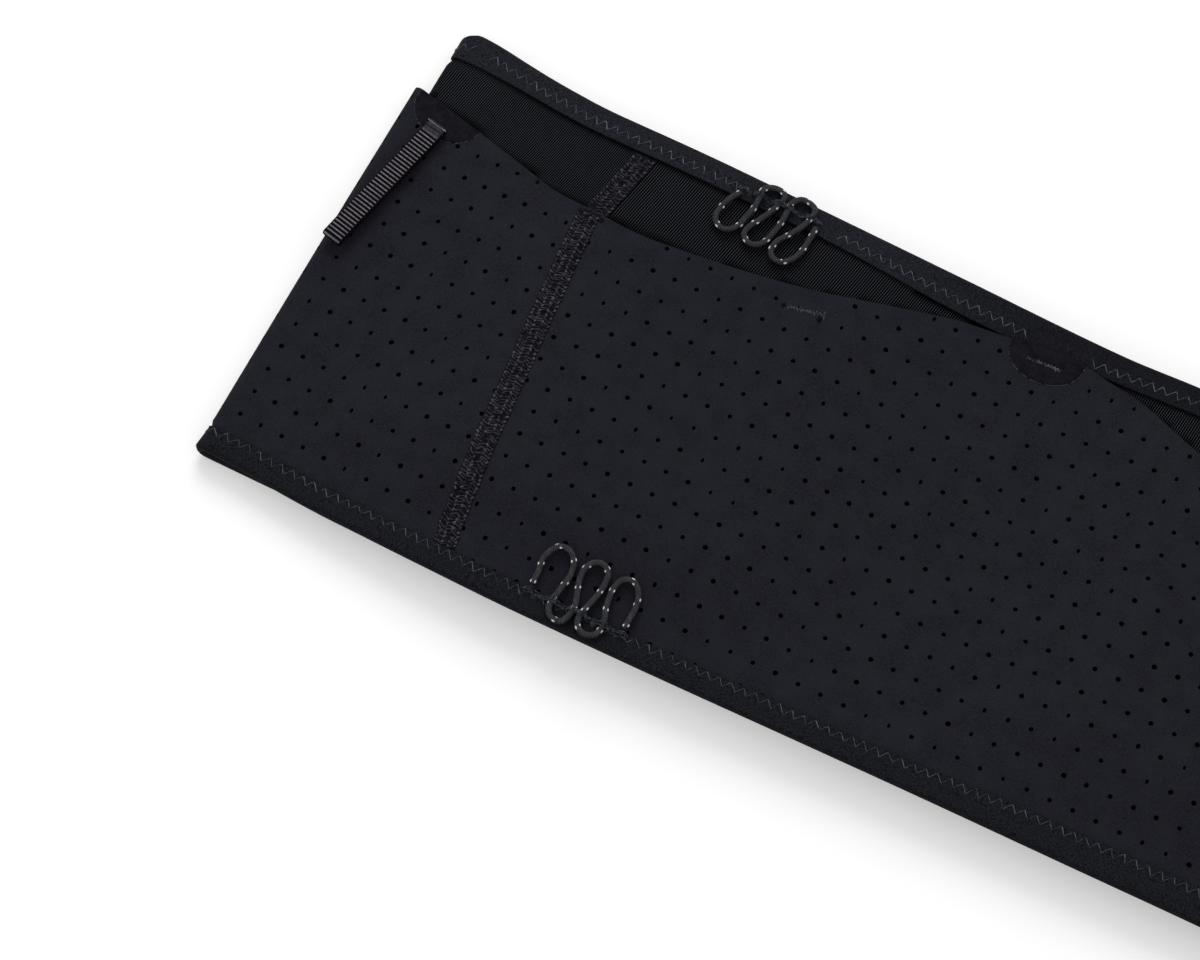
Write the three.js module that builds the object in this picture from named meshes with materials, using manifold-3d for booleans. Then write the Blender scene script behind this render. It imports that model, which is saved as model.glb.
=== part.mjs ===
// Pull-on stretch belt with slit pockets, lying flat on a table, in millimetres.
// +X runs along the belt, +Y towards its top edge, +Z up through its front half.
import * as THREE from 'three';
import { mergeVertices } from 'three/addons/utils/BufferGeometryUtils.js';
import Module from 'manifold-3d';

const wasm = await Module();
wasm.setup();

// Belt as it lies
const beltLength = 412;
const beltHeight = 138;
const topInset = 3.1;
const topCornerRadius = 4;
const bottomCornerRadius = 0.8;
const frontDrop = 2.7;
const frontDropRun = 40;
const cornerTurn = 0.92;
const leanReach = 60;

// Fabrics and the clearance between touching pieces
const panelThickness = 0.6;
const liningThickness = 0.5;
const elasticThickness = 0.6;
const layerGap = 0.3;

// Hollow of the tube and of the pockets
const waistClearance = 4.4;
const innerFoldRadius = 0.4;
const waistRun = 88;
const pocketLift = 4.6;
const pocketRun = 54;
const pocketFloorRun = 28;
const dividerRun = 42;
const rimLiftRun = 7;

// Bindings
const topBindingWidth = 7.5;
const bottomBindingWidth = 6.9;
const bindingNose = 1.6;

// Flatlock seams
const seamWidth = 6.5;
const seamThickness = 0.3;

// Bonded half-round patches
const patchChord = 20.5;
const patchDepth = 8.4;
const patchThickness = 0.35;
const patchRimInset = 0.5;

// Bartacks
const tackWidth = 1.6;
const tackThickness = 0.5;
const plainTackLength = 10.6;
const dividerTackLength = 9.6;
const dividerTackInset = 3;
const plainTackInset = 6.4;

// Webbing pull loop
const webbingWidth = 5.8;
const webbingThickness = 0.8;
const pullLength = 40.8;
const pullGap = 0.5;
const pullHingeGap = 0.3;
const pullRise = 1.2;
const pullRootLength = 3.2;
const pullTackOverhang = 0.4;
const pullRimInset = 9.1;
const pullShift = 1.56;
const pullAngle = -102.2;

// Elastic cords
const cordDiameter = 2;
const cordCut = 0.3;
const topCordInset = 5.6;
const bottomCordInset = 6.7;
const cordFallStart = 2.4;
const cordFallRun = 4;
const cordFloat = 0.2;
const stitchBandWidth = 1.2;
const stitchBandThickness = 0.4;
const stitchBandOverhang = 1.8;

// Shares of the belt's length, and of its height above the bottom left corner
const bottomEdgeShares = [
  [0, 0.007], [0.05, 0.0075], [0.15, 0.001], [0.23, -0.001], [0.32, 0.003], [0.42, 0.0105],
  [0.5, 0.016], [0.6, 0.021], [0.7, 0.026], [0.8, 0.027], [0.9, 0.0215], [1, 0.0135],
];
const topEdgeShares = [
  [0, 1.012], [0.024, 1.01], [0.055, 1], [0.085, 0.9895], [0.116, 0.9815], [0.175, 0.978],
  [0.26, 0.973], [0.376, 0.9656], [0.49, 0.958], [0.545, 0.9646], [0.65, 0.974], [0.75, 0.981],
  [0.85, 0.988], [0.93, 1], [1, 1.01],
];
const rimShares = [
  [0, 0.864], [0.05, 0.829], [0.092, 0.793], [0.12, 0.768], [0.15, 0.758], [0.185, 0.751],
  [0.216, 0.7584], [0.247, 0.7695], [0.2765, 0.7835], [0.306, 0.801], [0.334, 0.824],
  [0.354, 0.8435], [0.39, 0.876], [0.4237, 0.8904], [0.446, 0.902], [0.464, 0.9044],
  [0.49, 0.893], [0.5198, 0.8755], [0.5486, 0.842], [0.58, 0.81], [0.63, 0.775], [0.7, 0.755],
  [0.78, 0.75], [0.86, 0.775], [0.93, 0.817], [1, 0.864],
];
// Shares of the height, and of the length from the nearer fold
const seamShares = [
  [0, 0.1705], [0.38, 0.159], [0.75, 0.1487], [0.84, 0.15], [0.925, 0.1553], [1.02, 0.158],
];
const rearSeamShare = 0.15;
const insetStartShare = 0.72;
const insetEndShare = 0.87;
// How far the left fold draws in, by share of the height
const leanShares = [[0, -0.45], [0.5, 0], [0.86, 0.85], [1, 1.1]];

// Places along the belt as shares of its length
const dividerShare = 0.4495;
const cornerPatchShare = 0.0307;
const plainTackShare = 0.2982;
const topCordShare = 0.2561;
const bottomCordShare = 0.2646;
const leftPocketStartShare = 0.034;
const leftPocketEndShare = 0.419;
const rightPocketStartShare = 0.48;
const rightPocketEndShare = 0.966;

// Counts
const frontSteps = 24;
const liningSteps = 12;
const sideSteps = 6;
const foldSteps = 5;
const bindingSteps = 12;
const rearSteps = 3;
const cordSides = 8;
const cordSteps = 44;
const pullSteps = 6;
const turnSteps = 6;

// Route of the top cord from its stitch row, before it is mirrored for the right side
const topCordRoute = [
  [-11.8, -0.6], [-13.6, -3.5], [-14.9, -7.3], [-14.7, -10.2], [-12.6, -12], [-10.1, -11.6],
  [-8.3, -9.2], [-7.7, -6.9], [-6.9, -3.6], [-6.8, -0.2], [-7, 2.6], [-5.5, 4], [-3, 4.4],
  [-1, 3.4], [-1.8, -0.7], [-3.8, -5], [-5.6, -8.3], [-5.9, -11], [-3.9, -12.7], [-1.5, -12.2],
  [0, -10.2], [0.8, -7], [1.4, -4.1], [1.5, -0.7], [1.5, 2.4], [3.2, 4.5], [5.6, 4.6],
  [7.8, 3.4], [7.8, 0.2], [6.7, -2.8], [4.5, -6.2], [2.8, -8.8], [2.4, -11.6], [3.7, -13.6],
  [6.3, -13.9], [8.5, -11.8], [9.6, -9.3], [10.1, -5.4], [10.3, -0.6],
];
// Route of the bottom cord from its stitch row
const bottomCordRoute = [
  [-13.3, 0.6], [-13.4, 4.3], [-13.9, 8.2], [-13, 10.8], [-11.2, 12.7], [-8.7, 12.7],
  [-6.3, 10.4], [-5.7, 6.8], [-6.2, 2.7], [-6.7, -1.3], [-6.2, -3.9], [-4.4, -5.2],
  [-2.1, -4.9], [-1.1, -2.9], [-0.9, 0.5], [-1.9, 3.8], [-2.8, 6.4], [-3.2, 9.7], [-2.3, 12],
  [0, 13.3], [2.6, 12.1], [3.3, 9.1], [2.8, 5.1], [1.9, 0.8], [1.5, -2.3], [2.7, -4.6],
  [5.1, -5.3], [7.3, -4], [7.8, -0.6], [6.6, 3], [5.9, 6.6], [5.9, 9.6], [7.1, 12],
  [9.7, 12.6], [12.1, 10.6], [13.1, 6.9], [13.1, 3.2], [13.1, 0.6],
];

// Heights worked out from the layers
const bindingStack = elasticThickness + layerGap;
const liningTop = liningThickness;
const panelBase = liningTop + layerGap;
const panelTop = panelBase + panelThickness;
const foldRadius = innerFoldRadius + bindingStack;
const middleHalfGap = waistClearance / 2 + bindingStack;
const rearBase = panelTop + bindingStack;
const foldLevel = rearBase + foldRadius;
const bottomY = -beltHeight / 2;
const halfLength = beltLength / 2;
const wrapRadius = foldRadius + panelTop;

// Colours and finishes from the photograph
function fabric(color, roughness) {
  return new THREE.MeshStandardMaterial({ color, roughness, metalness: 0 });
}
const looks = {
  panel: fabric(0x202027, 0.85),
  lining: fabric(0x1a1c20, 0.9),
  elastic: fabric(0x1a1b20, 0.8),
  thread: fabric(0x4a4c54, 0.7),
  patch: fabric(0x191a1f, 0.6),
  webbing: fabric(0x1d1b24, 0.75),
  cord: fabric(0x3c3d42, 0.8),
};

function eased(value) {
  return THREE.MathUtils.smoothstep(value, 0, 1);
}

// Smooth curve through a table of pairs
function follow(table, at) {
  const last = table.length - 1;
  const found = table.findIndex((pair) => pair[0] > at);
  const next = found < 0 ? last : Math.max(found, 1);
  const slope = (index) => {
    const before = table[Math.max(index - 1, 0)];
    const after = table[Math.min(index + 1, last)];
    return (after[1] - before[1]) / (after[0] - before[0]);
  };
  const [startAt, start] = table[next - 1];
  const [endAt, end] = table[next];
  const width = endAt - startAt;
  const t = THREE.MathUtils.clamp((at - startAt) / width, 0, 1);
  const rise = (end - start) * (3 * t * t - 2 * t * t * t);
  const leave = slope(next - 1) * width * (t * t * t - 2 * t * t + t);
  const arrive = slope(next) * width * (t * t * t - t * t);
  return start + rise + leave + arrive;
}

function shareAlong(x) {
  return x / beltLength + 0.5;
}

function xAt(share) {
  return (share - 0.5) * beltLength;
}

function bottomEdge(x) {
  return bottomY + beltHeight * follow(bottomEdgeShares, shareAlong(x));
}

// The front hangs a little lower than the rear between the folds
function frontBottomEdge(x) {
  return bottomEdge(x) - frontDrop * eased((outerReach - Math.abs(x)) / frontDropRun);
}

function topEdge(x) {
  return bottomY + beltHeight * follow(topEdgeShares, shareAlong(x));
}

function rim(x) {
  return bottomY + beltHeight * follow(rimShares, shareAlong(x));
}

function seamX(y) {
  return halfLength - beltLength * follow(seamShares, (y - bottomY) / beltHeight);
}

const rearSeamX = halfLength - beltLength * rearSeamShare;

// Distance from the middle to the centre of a fold, for the outer layer and for the lining,
// which draws in towards the top binding
const outerReach = halfLength - wrapRadius;

function innerReach(y) {
  const share = (y - bottomY) / beltHeight;
  const inset = topInset * eased((share - insetStartShare) / (insetEndShare - insetStartShare));
  return outerReach - inset;
}

function lean(x, y) {
  const near = eased((leanReach - halfLength - x) / leanReach);
  return near * follow(leanShares, (y - bottomY) / beltHeight);
}

// Front side of the waist hollow
function frontBase(x, reach = outerReach) {
  const open = (middleHalfGap - foldRadius) * eased((reach - Math.abs(x)) / waistRun);
  return rearBase + 2 * (foldRadius + open);
}

// A place on the flattened tube: 0 to 1 is the front from the middle to a fold, 1 to 2 goes
// round the fold and 2 to 3 is the rear back to the middle; the left half has negative places
function flatPoint(place, y, offset, reach = outerReach) {
  const far = Math.abs(place);
  const side = Math.sign(place) || 1;
  if (far <= 1) {
    const x = side * far * reach;
    return new THREE.Vector3(x, y, frontBase(x, reach) + offset);
  }
  if (far < 2) {
    const angle = (1.5 - far) * Math.PI;
    const radius = foldRadius + offset;
    const x = side * (reach + radius * Math.cos(angle));
    return new THREE.Vector3(x, y, foldLevel + radius * Math.sin(angle));
  }
  return new THREE.Vector3(side * (3 - far) * reach, y, rearBase - offset);
}

function loopPoint(place, y, offset, reach) {
  const point = flatPoint(place, y, offset, reach);
  return point.setX(point.x + lean(point.x, y));
}

// Place on the tube of a point of the front face, past the fold's start as arc length
function placeOf(x) {
  const past = Math.abs(x) - outerReach;
  const far = past <= 0 ? Math.abs(x) / outerReach : 1 + past / (Math.PI * wrapRadius);
  return Math.sign(x) * far;
}

// How far the outer layer stands off over the pockets and over the top binding
function outerLift(x, y) {
  if (Math.abs(x) > outerReach) {
    return 0;
  }
  const share = shareAlong(x);
  const left = eased(((share - leftPocketStartShare) * beltLength) / pocketRun)
    * eased(((leftPocketEndShare - share) * beltLength) / dividerRun);
  const right = eased(((share - rightPocketStartShare) * beltLength) / dividerRun)
    * eased(((rightPocketEndShare - share) * beltLength) / pocketRun);
  const floor = frontBottomEdge(x) + bottomBindingWidth + elasticThickness;
  const bulge = pocketLift * (left + right) * eased((y - floor) / pocketFloorRun);
  const binding = topEdge(x) - topBindingWidth;
  const over = bindingStack * eased((y - binding) / rimLiftRun + 1);
  return bulge + over;
}

function frontPoint(x, y, offset) {
  return loopPoint(placeOf(x), y, offset + outerLift(x, y));
}

// Turns a closed geometry so that its faces point out
function outward(geometry) {
  const position = geometry.getAttribute('position');
  const index = geometry.getIndex().array;
  const corner = (i) => new THREE.Vector3().fromBufferAttribute(position, index[i]);
  let volume = 0;
  for (let i = 0; i < index.length; i += 3) {
    volume += corner(i).dot(corner(i + 1).cross(corner(i + 2)));
  }
  if (volume < 0) {
    for (let i = 0; i < index.length; i += 3) {
      [index[i], index[i + 1]] = [index[i + 1], index[i]];
    }
  }
  geometry.computeVertexNormals();
  return geometry;
}

// Closed thin body: at(column, row, side) gives the points of its two faces
function thinBody(columns, rows, at, wraps = false) {
  const points = [];
  const index = [];
  for (let side = 0; side < 2; side += 1) {
    for (let i = 0; i < columns; i += 1) {
      for (let j = 0; j < rows; j += 1) {
        points.push(at(i, j, side));
      }
    }
  }
  const id = (i, j, side) => side * columns * rows + (i % columns) * rows + j;
  const quad = (a, b, c, d) => index.push(a, b, c, a, c, d);
  const spans = wraps ? columns : columns - 1;
  for (let i = 0; i < spans; i += 1) {
    for (let j = 0; j < rows - 1; j += 1) {
      quad(id(i, j, 1), id(i + 1, j, 1), id(i + 1, j + 1, 1), id(i, j + 1, 1));
      index.push(id(i, j, 0), id(i + 1, j + 1, 0), id(i + 1, j, 0));
      index.push(id(i, j, 0), id(i, j + 1, 0), id(i + 1, j + 1, 0));
    }
    quad(id(i, 0, 0), id(i + 1, 0, 0), id(i + 1, 0, 1), id(i, 0, 1));
    quad(id(i + 1, rows - 1, 0), id(i, rows - 1, 0), id(i, rows - 1, 1), id(i + 1, rows - 1, 1));
  }
  for (let j = 0; j < rows - 1 && !wraps; j += 1) {
    quad(id(0, j + 1, 0), id(0, j, 0), id(0, j, 1), id(0, j + 1, 1));
    const end = columns - 1;
    quad(id(end, j, 0), id(end, j + 1, 0), id(end, j + 1, 1), id(end, j, 1));
  }
  const geometry = new THREE.BufferGeometry().setFromPoints(points);
  geometry.setIndex(index);
  return outward(geometry);
}

const belt = new THREE.Group();

function addPiece(name, geometry, material, parent = belt) {
  const mesh = new THREE.Mesh(geometry, material.clone());
  mesh.name = name;
  parent.add(mesh);
  return mesh;
}

// Rows of a sheet between two heights, as shares
const sheetRowShares = [0, 0.052, 0.1, 0.16, 0.22, 0.3, 0.4, 0.62, 0.8, 0.9, 0.935, 0.968, 1];
const liningRowShares = [0, 0.4, 0.7, 0.74, 0.78, 0.82, 0.86, 1];

const caughtDepth = bindingNose + layerGap;

// How far an edge draws in towards the end of the belt, as a rounded corner
function cornerDrop(x, radius) {
  const t = THREE.MathUtils.clamp(1 - (outerReach + foldRadius - Math.abs(x)) / radius, 0, 1);
  return radius * (1 - Math.sqrt(1 - (cornerTurn * t) ** 2));
}

function lowEdge(x, place) {
  const edge = Math.abs(place) <= 1 ? frontBottomEdge(x) : bottomEdge(x);
  return edge + cornerDrop(x, bottomCornerRadius);
}

function highEdge(x) {
  return topEdge(x) - cornerDrop(x, topCornerRadius);
}

function lowEnd(x, place) {
  return lowEdge(x, place) + caughtDepth;
}

function highEnd(x) {
  return highEdge(x) - caughtDepth;
}

// Front sheet between the two front seams
function frontSheet(steps, rowShares, top, base, thickness, outer) {
  const edgeGap = layerGap / 2;
  return thinBody(steps + 1, rowShares.length, (i, j, side) => {
    const across = (2 * i) / steps - 1;
    const nominal = across * seamX(0);
    const low = lowEnd(nominal, 0);
    const y = low + rowShares[j] * (top(nominal) - low);
    const x = across * (seamX(y) - edgeGap);
    const lift = outer ? outerLift(x, y) : 0;
    const reach = outer ? outerReach : innerReach(y);
    return loopPoint(x / reach, y, base + side * thickness + lift, reach);
  });
}

// Places of a side sheet: from the front seam round the fold to the rear seam
function sidePlaces(steps) {
  const places = [];
  for (let i = 0; i <= steps; i += 1) {
    places.push([0, i / steps]);
  }
  for (let i = 1; i < foldSteps; i += 1) {
    places.push([1, i / foldSteps]);
  }
  for (const share of [0, 0.3, 0.65, 0.92, 1]) {
    places.push([2, share]);
  }
  return places;
}

function sideLoopPlace([zone, t], y, reach) {
  const edgeGap = layerGap / 2;
  const front = (seamX(y) + edgeGap) / reach;
  const rear = 3 - (rearSeamX + edgeGap) / reach;
  if (zone === 0) {
    return front + t * (1 - front);
  }
  return zone === 1 ? 1 + t : 2 + t * (rear - 2);
}

function sideSheet(hand, steps, rowShares, top, base, thickness, outer) {
  const places = sidePlaces(steps);
  return thinBody(places.length, rowShares.length, (i, j, side) => {
    const middle = sideLoopPlace(places[i], 0, outerReach);
    const nominal = hand * flatPoint(middle, 0, 0).x;
    const low = lowEnd(nominal, middle);
    const y = low + rowShares[j] * (top(nominal, middle) - low);
    const reach = outer ? outerReach : innerReach(y);
    const place = hand * sideLoopPlace(places[i], y, reach);
    const { x } = flatPoint(place, y, 0, reach);
    const lift = outer && places[i][0] === 0 ? outerLift(x, y) : 0;
    return loopPoint(place, y, base + side * thickness + lift, reach);
  });
}

// Rim of a side panel: the pocket rim in front, then up to the top binding behind
function sideRim(x, place) {
  if (place <= 2) {
    return rim(x);
  }
  const under = topEdge(x) - topBindingWidth - elasticThickness;
  const climb = (halfLength - Math.abs(x)) / (halfLength - rearSeamX - layerGap);
  return climb >= 1 ? highEnd(x) : rim(x) + (under - rim(x)) * eased(climb);
}

function rearSheet(steps, base, thickness) {
  const edgeGap = layerGap / 2;
  return thinBody(steps + 1, 2, (i, j, side) => {
    const x = ((2 * i) / steps - 1) * (rearSeamX - edgeGap);
    const y = j === 0 ? lowEnd(x, 3) : highEnd(x);
    return flatPoint(3, y, base + side * thickness).setX(x);
  });
}

// Outer layer
addPiece('front_panel',
  frontSheet(frontSteps, sheetRowShares, rim, panelBase, panelThickness, true), looks.panel);
addPiece('left_side_panel',
  sideSheet(-1, sideSteps, sheetRowShares, sideRim, panelBase, panelThickness, true), looks.panel);
addPiece('right_side_panel',
  sideSheet(1, sideSteps, sheetRowShares, sideRim, panelBase, panelThickness, true), looks.panel);
addPiece('rear_panel', rearSheet(frontSteps / 2, panelBase, panelThickness), looks.panel);

// Lining
addPiece('front_lining',
  frontSheet(liningSteps, liningRowShares, highEnd, 0, liningThickness, false), looks.lining);
addPiece('left_side_lining',
  sideSheet(-1, sideSteps, liningRowShares, highEnd, 0, liningThickness, false), looks.lining);
addPiece('right_side_lining',
  sideSheet(1, sideSteps, liningRowShares, highEnd, 0, liningThickness, false), looks.lining);
addPiece('rear_lining', rearSheet(frontSteps / 2, 0, liningThickness), looks.lining);

// Stretch of the rear where the top binding widens to take the rear panel in
const stackRun = 4 * seamWidth;

// Fold-over elastic round an edge; stack gives the layers it holds at each place
function bindingPlaces() {
  const half = [];
  for (let i = 0; i < bindingSteps; i += 1) {
    half.push(i / bindingSteps);
  }
  for (let i = 0; i < foldSteps; i += 1) {
    half.push(1 + i / foldSteps);
  }
  half.push(2);
  half.push(3 - (rearSeamX + stackRun) / outerReach);
  half.push(3 - (rearSeamX + seamWidth) / outerReach);
  for (let i = 0; i < rearSteps; i += 1) {
    half.push(3 - (1 - i / rearSteps) * (rearSeamX / outerReach));
  }
  const mirrored = half.slice(1).map((place) => -place);
  return [...half, 3, ...mirrored.reverse()];
}

function topStack(place) {
  const far = Math.abs(place);
  const x = (3 - far) * outerReach;
  const rear = far > 2 ? eased((rearSeamX + stackRun - x) / (stackRun - seamWidth)) : 0;
  return liningTop + layerGap + rear * (panelThickness + layerGap);
}

function bottomStack() {
  return panelTop + layerGap;
}

function bindingBody(edge, inwards, width, stack) {
  const places = bindingPlaces();
  const nose = bindingNose - elasticThickness;
  return thinBody(places.length, 7, (i, j, side) => {
    const place = places[i];
    const nominal = flatPoint(place, 0, 0).x;
    const outer = stack(place) + side * elasticThickness;
    const inner = -layerGap - side * elasticThickness;
    const middle = (outer + inner) / 2;
    const round = side ? 0 : elasticThickness;
    const profile = [
      [width, outer],
      [width / 2, outer],
      [nose + round / 2, outer],
      [round, middle],
      [nose + round / 2, inner],
      [width / 2, inner],
      [width, inner],
    ];
    const y = edge(nominal, place) + inwards * profile[j][0];
    return loopPoint(place, y, profile[j][1], innerReach(y));
  }, true);
}

addPiece('top_binding',
  bindingBody(highEdge, -1, topBindingWidth, topStack), looks.elastic);
addPiece('bottom_binding',
  bindingBody(lowEdge, 1, bottomBindingWidth, bottomStack), looks.elastic);

// Flatlock thread over the butted edges of two sheets
function frontSeam(hand, heights, base, outer) {
  return thinBody(3, heights.length, (i, j, side) => {
    const y = heights[j];
    const x = hand * (seamX(y) + (i / 2 - 0.5) * seamWidth);
    const lift = outer ? outerLift(x, y) : 0;
    const reach = outer ? outerReach : innerReach(y);
    return loopPoint(x / reach, y, base + side * seamThickness + lift, reach);
  });
}

function rearSeam(hand, low, high, base) {
  return thinBody(2, 2, (i, j, side) => {
    const y = j === 0 ? low : high;
    const x = hand * (rearSeamX + (i - 0.5) * seamWidth);
    return flatPoint(3, y, base + side * seamThickness).setX(x);
  });
}

for (const [sideName, hand] of [['left', -1], ['right', 1]]) {
  const x = hand * seamX(0);
  const rearX = hand * rearSeamX;
  const low = lowEnd(x, 0);
  const rimEnd = rim(x) - layerGap;
  const ceiling = topEdge(x) - topBindingWidth - layerGap;
  const rearFloor = bottomEdge(rearX) + bottomBindingWidth + layerGap;
  const rearCeiling = topEdge(rearX) - topBindingWidth - layerGap;
  const heights = sheetRowShares.slice(1).map((share) => low + share * (rimEnd - low));
  const seams = [
    ['front', frontSeam(hand, heights, panelTop + layerGap, true)],
    ['front_lining', frontSeam(hand, [rim(x), ceiling], liningTop + layerGap, false)],
    ['rear', rearSeam(hand, rearFloor, rearCeiling, panelTop + layerGap)],
  ];
  for (const [where, geometry] of seams) {
    addPiece(`${sideName}_${where}_flatlock`, geometry, looks.thread);
  }
}

// Half-round patch with its chord along the rim
const patchColumnShares = [-1, -0.85, -0.6, -0.3, 0, 0.3, 0.6, 0.85, 1];
const patchCornerShare = 0.08;

function rimFrame(share) {
  const x = xAt(share);
  const step = patchChord / 2;
  const along = new THREE.Vector2(2 * step, rim(x + step) - rim(x - step)).normalize();
  const chordY = (rim(x + step) + rim(x - step)) / 2;
  return { x, y: Math.min(chordY, rim(x)), along, down: new THREE.Vector2(along.y, -along.x) };
}

function onFrame(frame, alongBy, downBy) {
  const x = frame.x + frame.along.x * alongBy + frame.down.x * downBy;
  const y = frame.y + frame.along.y * alongBy + frame.down.y * downBy;
  return [x, y];
}

function patchBody(share) {
  const frame = rimFrame(share);
  const base = panelTop + layerGap;
  const rows = 4;
  return thinBody(patchColumnShares.length, rows, (i, j, side) => {
    const across = patchColumnShares[i];
    const round = Math.sqrt(1 - across * across);
    const depth = patchDepth * (patchCornerShare + (1 - patchCornerShare) * round);
    const down = patchRimInset + (j / (rows - 1)) * depth;
    const [x, y] = onFrame(frame, (across * patchChord) / 2, down);
    return frontPoint(x, y, base + side * patchThickness);
  });
}

// Bartack laid on the front face
function tackBody(frame, length, down, base) {
  const columns = 4;
  return thinBody(columns, 2, (i, j, side) => {
    const along = (i / (columns - 1) - 0.5) * length;
    const [x, y] = onFrame(frame, along, down + (j - 0.5) * tackWidth);
    return frontPoint(x, y, base + side * tackThickness);
  });
}

const onPatch = panelTop + patchThickness + 2 * layerGap;
const onPanel = panelTop + layerGap;
const leftCorner = rimFrame(cornerPatchShare);
const rightCorner = rimFrame(1 - cornerPatchShare);
const divider = rimFrame(dividerShare);
const plain = rimFrame(plainTackShare);

addPiece('left_corner_patch', patchBody(cornerPatchShare), looks.patch);
addPiece('divider_patch', patchBody(dividerShare), looks.patch);
addPiece('right_corner_patch', patchBody(1 - cornerPatchShare), looks.patch);
addPiece('divider_bartack',
  tackBody(divider, dividerTackLength, dividerTackInset, onPatch), looks.thread);
addPiece('right_corner_bartack',
  tackBody(rightCorner, dividerTackLength, dividerTackInset, onPatch), looks.thread);
addPiece('rim_bartack', tackBody(plain, plainTackLength, plainTackInset, onPanel), looks.thread);

// Webbing pull loop, drawn from its side with its length along +X and turned about +Z
const pullFrame = new THREE.Group();
const [pullX, pullY] = onFrame(leftCorner, pullShift, pullRimInset);
const pullZ = frontPoint(pullX, pullY, onPatch).z;
pullFrame.position.set(pullX, pullY, pullZ);
pullFrame.rotation.z = THREE.MathUtils.degToRad(pullAngle);
belt.add(pullFrame);

function acrossWebbing(shape, width) {
  const geometry = new THREE.ExtrudeGeometry(shape, { depth: width, bevelEnabled: false });
  geometry.rotateX(Math.PI / 2);
  geometry.translate(0, width / 2, 0);
  return geometry;
}

function pullShape() {
  const turn = (webbingThickness + pullGap) / 2;
  const straight = pullLength - turn - webbingThickness / 2;
  const centre = [];
  for (let i = 0; i <= pullSteps; i += 1) {
    const t = i / pullSteps;
    const along = pullHingeGap + t * (straight - pullHingeGap);
    centre.push(new THREE.Vector2(along, webbingThickness / 2 + pullRise * eased(t)));
  }
  const end = centre[pullSteps];
  for (let i = 1; i < turnSteps; i += 1) {
    const angle = (i / turnSteps - 0.5) * Math.PI;
    centre.push(new THREE.Vector2(
      end.x + turn * Math.cos(angle),
      end.y + turn + turn * Math.sin(angle),
    ));
  }
  for (let i = pullSteps; i >= 0; i -= 1) {
    const t = i / pullSteps;
    const apart = webbingThickness + (pullGap / 2) * (1 + eased(2 * t));
    centre.push(new THREE.Vector2(centre[i].x, centre[i].y + apart));
  }
  const inside = [];
  const outside = [];
  centre.forEach((point, i) => {
    const before = centre[Math.max(i - 1, 0)];
    const after = centre[Math.min(i + 1, centre.length - 1)];
    const along = after.clone().sub(before).normalize();
    const normal = new THREE.Vector2(-along.y, along.x).multiplyScalar(webbingThickness / 2);
    inside.push(point.clone().add(normal));
    outside.push(point.clone().sub(normal));
  });
  return new THREE.Shape([...outside, ...inside.reverse()]);
}

const pullStack = 2 * webbingThickness + pullGap / 2;
addPiece('pull_loop', acrossWebbing(pullShape(), webbingWidth), looks.webbing, pullFrame);

const rootGeometry = new THREE.BoxGeometry(pullRootLength, webbingWidth, pullStack);
rootGeometry.translate(-pullRootLength / 2, 0, pullStack / 2);
addPiece('pull_loop_root', rootGeometry, looks.webbing, pullFrame);

const pullTackGeometry = new THREE.BoxGeometry(
  tackWidth, webbingWidth + 2 * pullTackOverhang, tackThickness,
);
pullTackGeometry.translate(
  tackWidth / 2 - pullRootLength, 0, pullStack + layerGap + tackThickness / 2,
);
addPiece('pull_loop_bartack', pullTackGeometry, looks.thread, pullFrame);

// Solids for joining and cutting
function solidOf(geometry) {
  const bare = geometry.clone();
  bare.deleteAttribute('normal');
  bare.deleteAttribute('uv');
  const merged = mergeVertices(bare);
  return new wasm.Manifold(new wasm.Mesh({
    numProp: 3,
    vertProperties: merged.getAttribute('position').array,
    triVerts: Uint32Array.from(merged.getIndex().array),
  }));
}

function geometryOf(solid) {
  const mesh = solid.getMesh();
  const geometry = new THREE.BufferGeometry();
  geometry.setAttribute('position', new THREE.BufferAttribute(mesh.vertProperties, 3));
  geometry.setIndex(new THREE.BufferAttribute(mesh.triVerts, 1));
  geometry.computeVertexNormals();
  return geometry;
}

function middleX(solid) {
  const box = solid.boundingBox();
  return (box.min[0] + box.max[0]) / 2;
}

// One cord made whole along its route, then parted under its stitch row
function cordPieces(points, inwards) {
  const path = new THREE.CatmullRomCurve3(points, false, 'centripetal');
  const radius = cordDiameter / 2;
  const section = new THREE.Shape();
  for (let i = 0; i < cordSides; i += 1) {
    const angle = (i / cordSides) * 2 * Math.PI;
    const corner = [radius * Math.cos(angle), radius * Math.sin(angle)];
    if (i === 0) {
      section.moveTo(...corner);
    } else {
      section.lineTo(...corner);
    }
  }
  const tube = new THREE.ExtrudeGeometry(section, { steps: cordSteps, extrudePath: path });
  const box = new THREE.Box3().setFromPoints(points).expandByScalar(2 * cordDiameter);
  const size = box.getSize(new THREE.Vector3());
  const keep = (side) => {
    const block = new THREE.BoxGeometry(size.x, size.y, size.z);
    const shift = side * (size.y / 2 + cordCut / 2);
    block.translate((box.min.x + box.max.x) / 2, shift, (box.min.z + box.max.z) / 2);
    return solidOf(tube).intersect(solidOf(block)).decompose();
  };
  const sorted = (solids) => solids.sort((a, b) => middleX(a) - middleX(b)).map(geometryOf);
  return { loops: sorted(keep(inwards)), bends: sorted(keep(-inwards)) };
}

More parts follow.
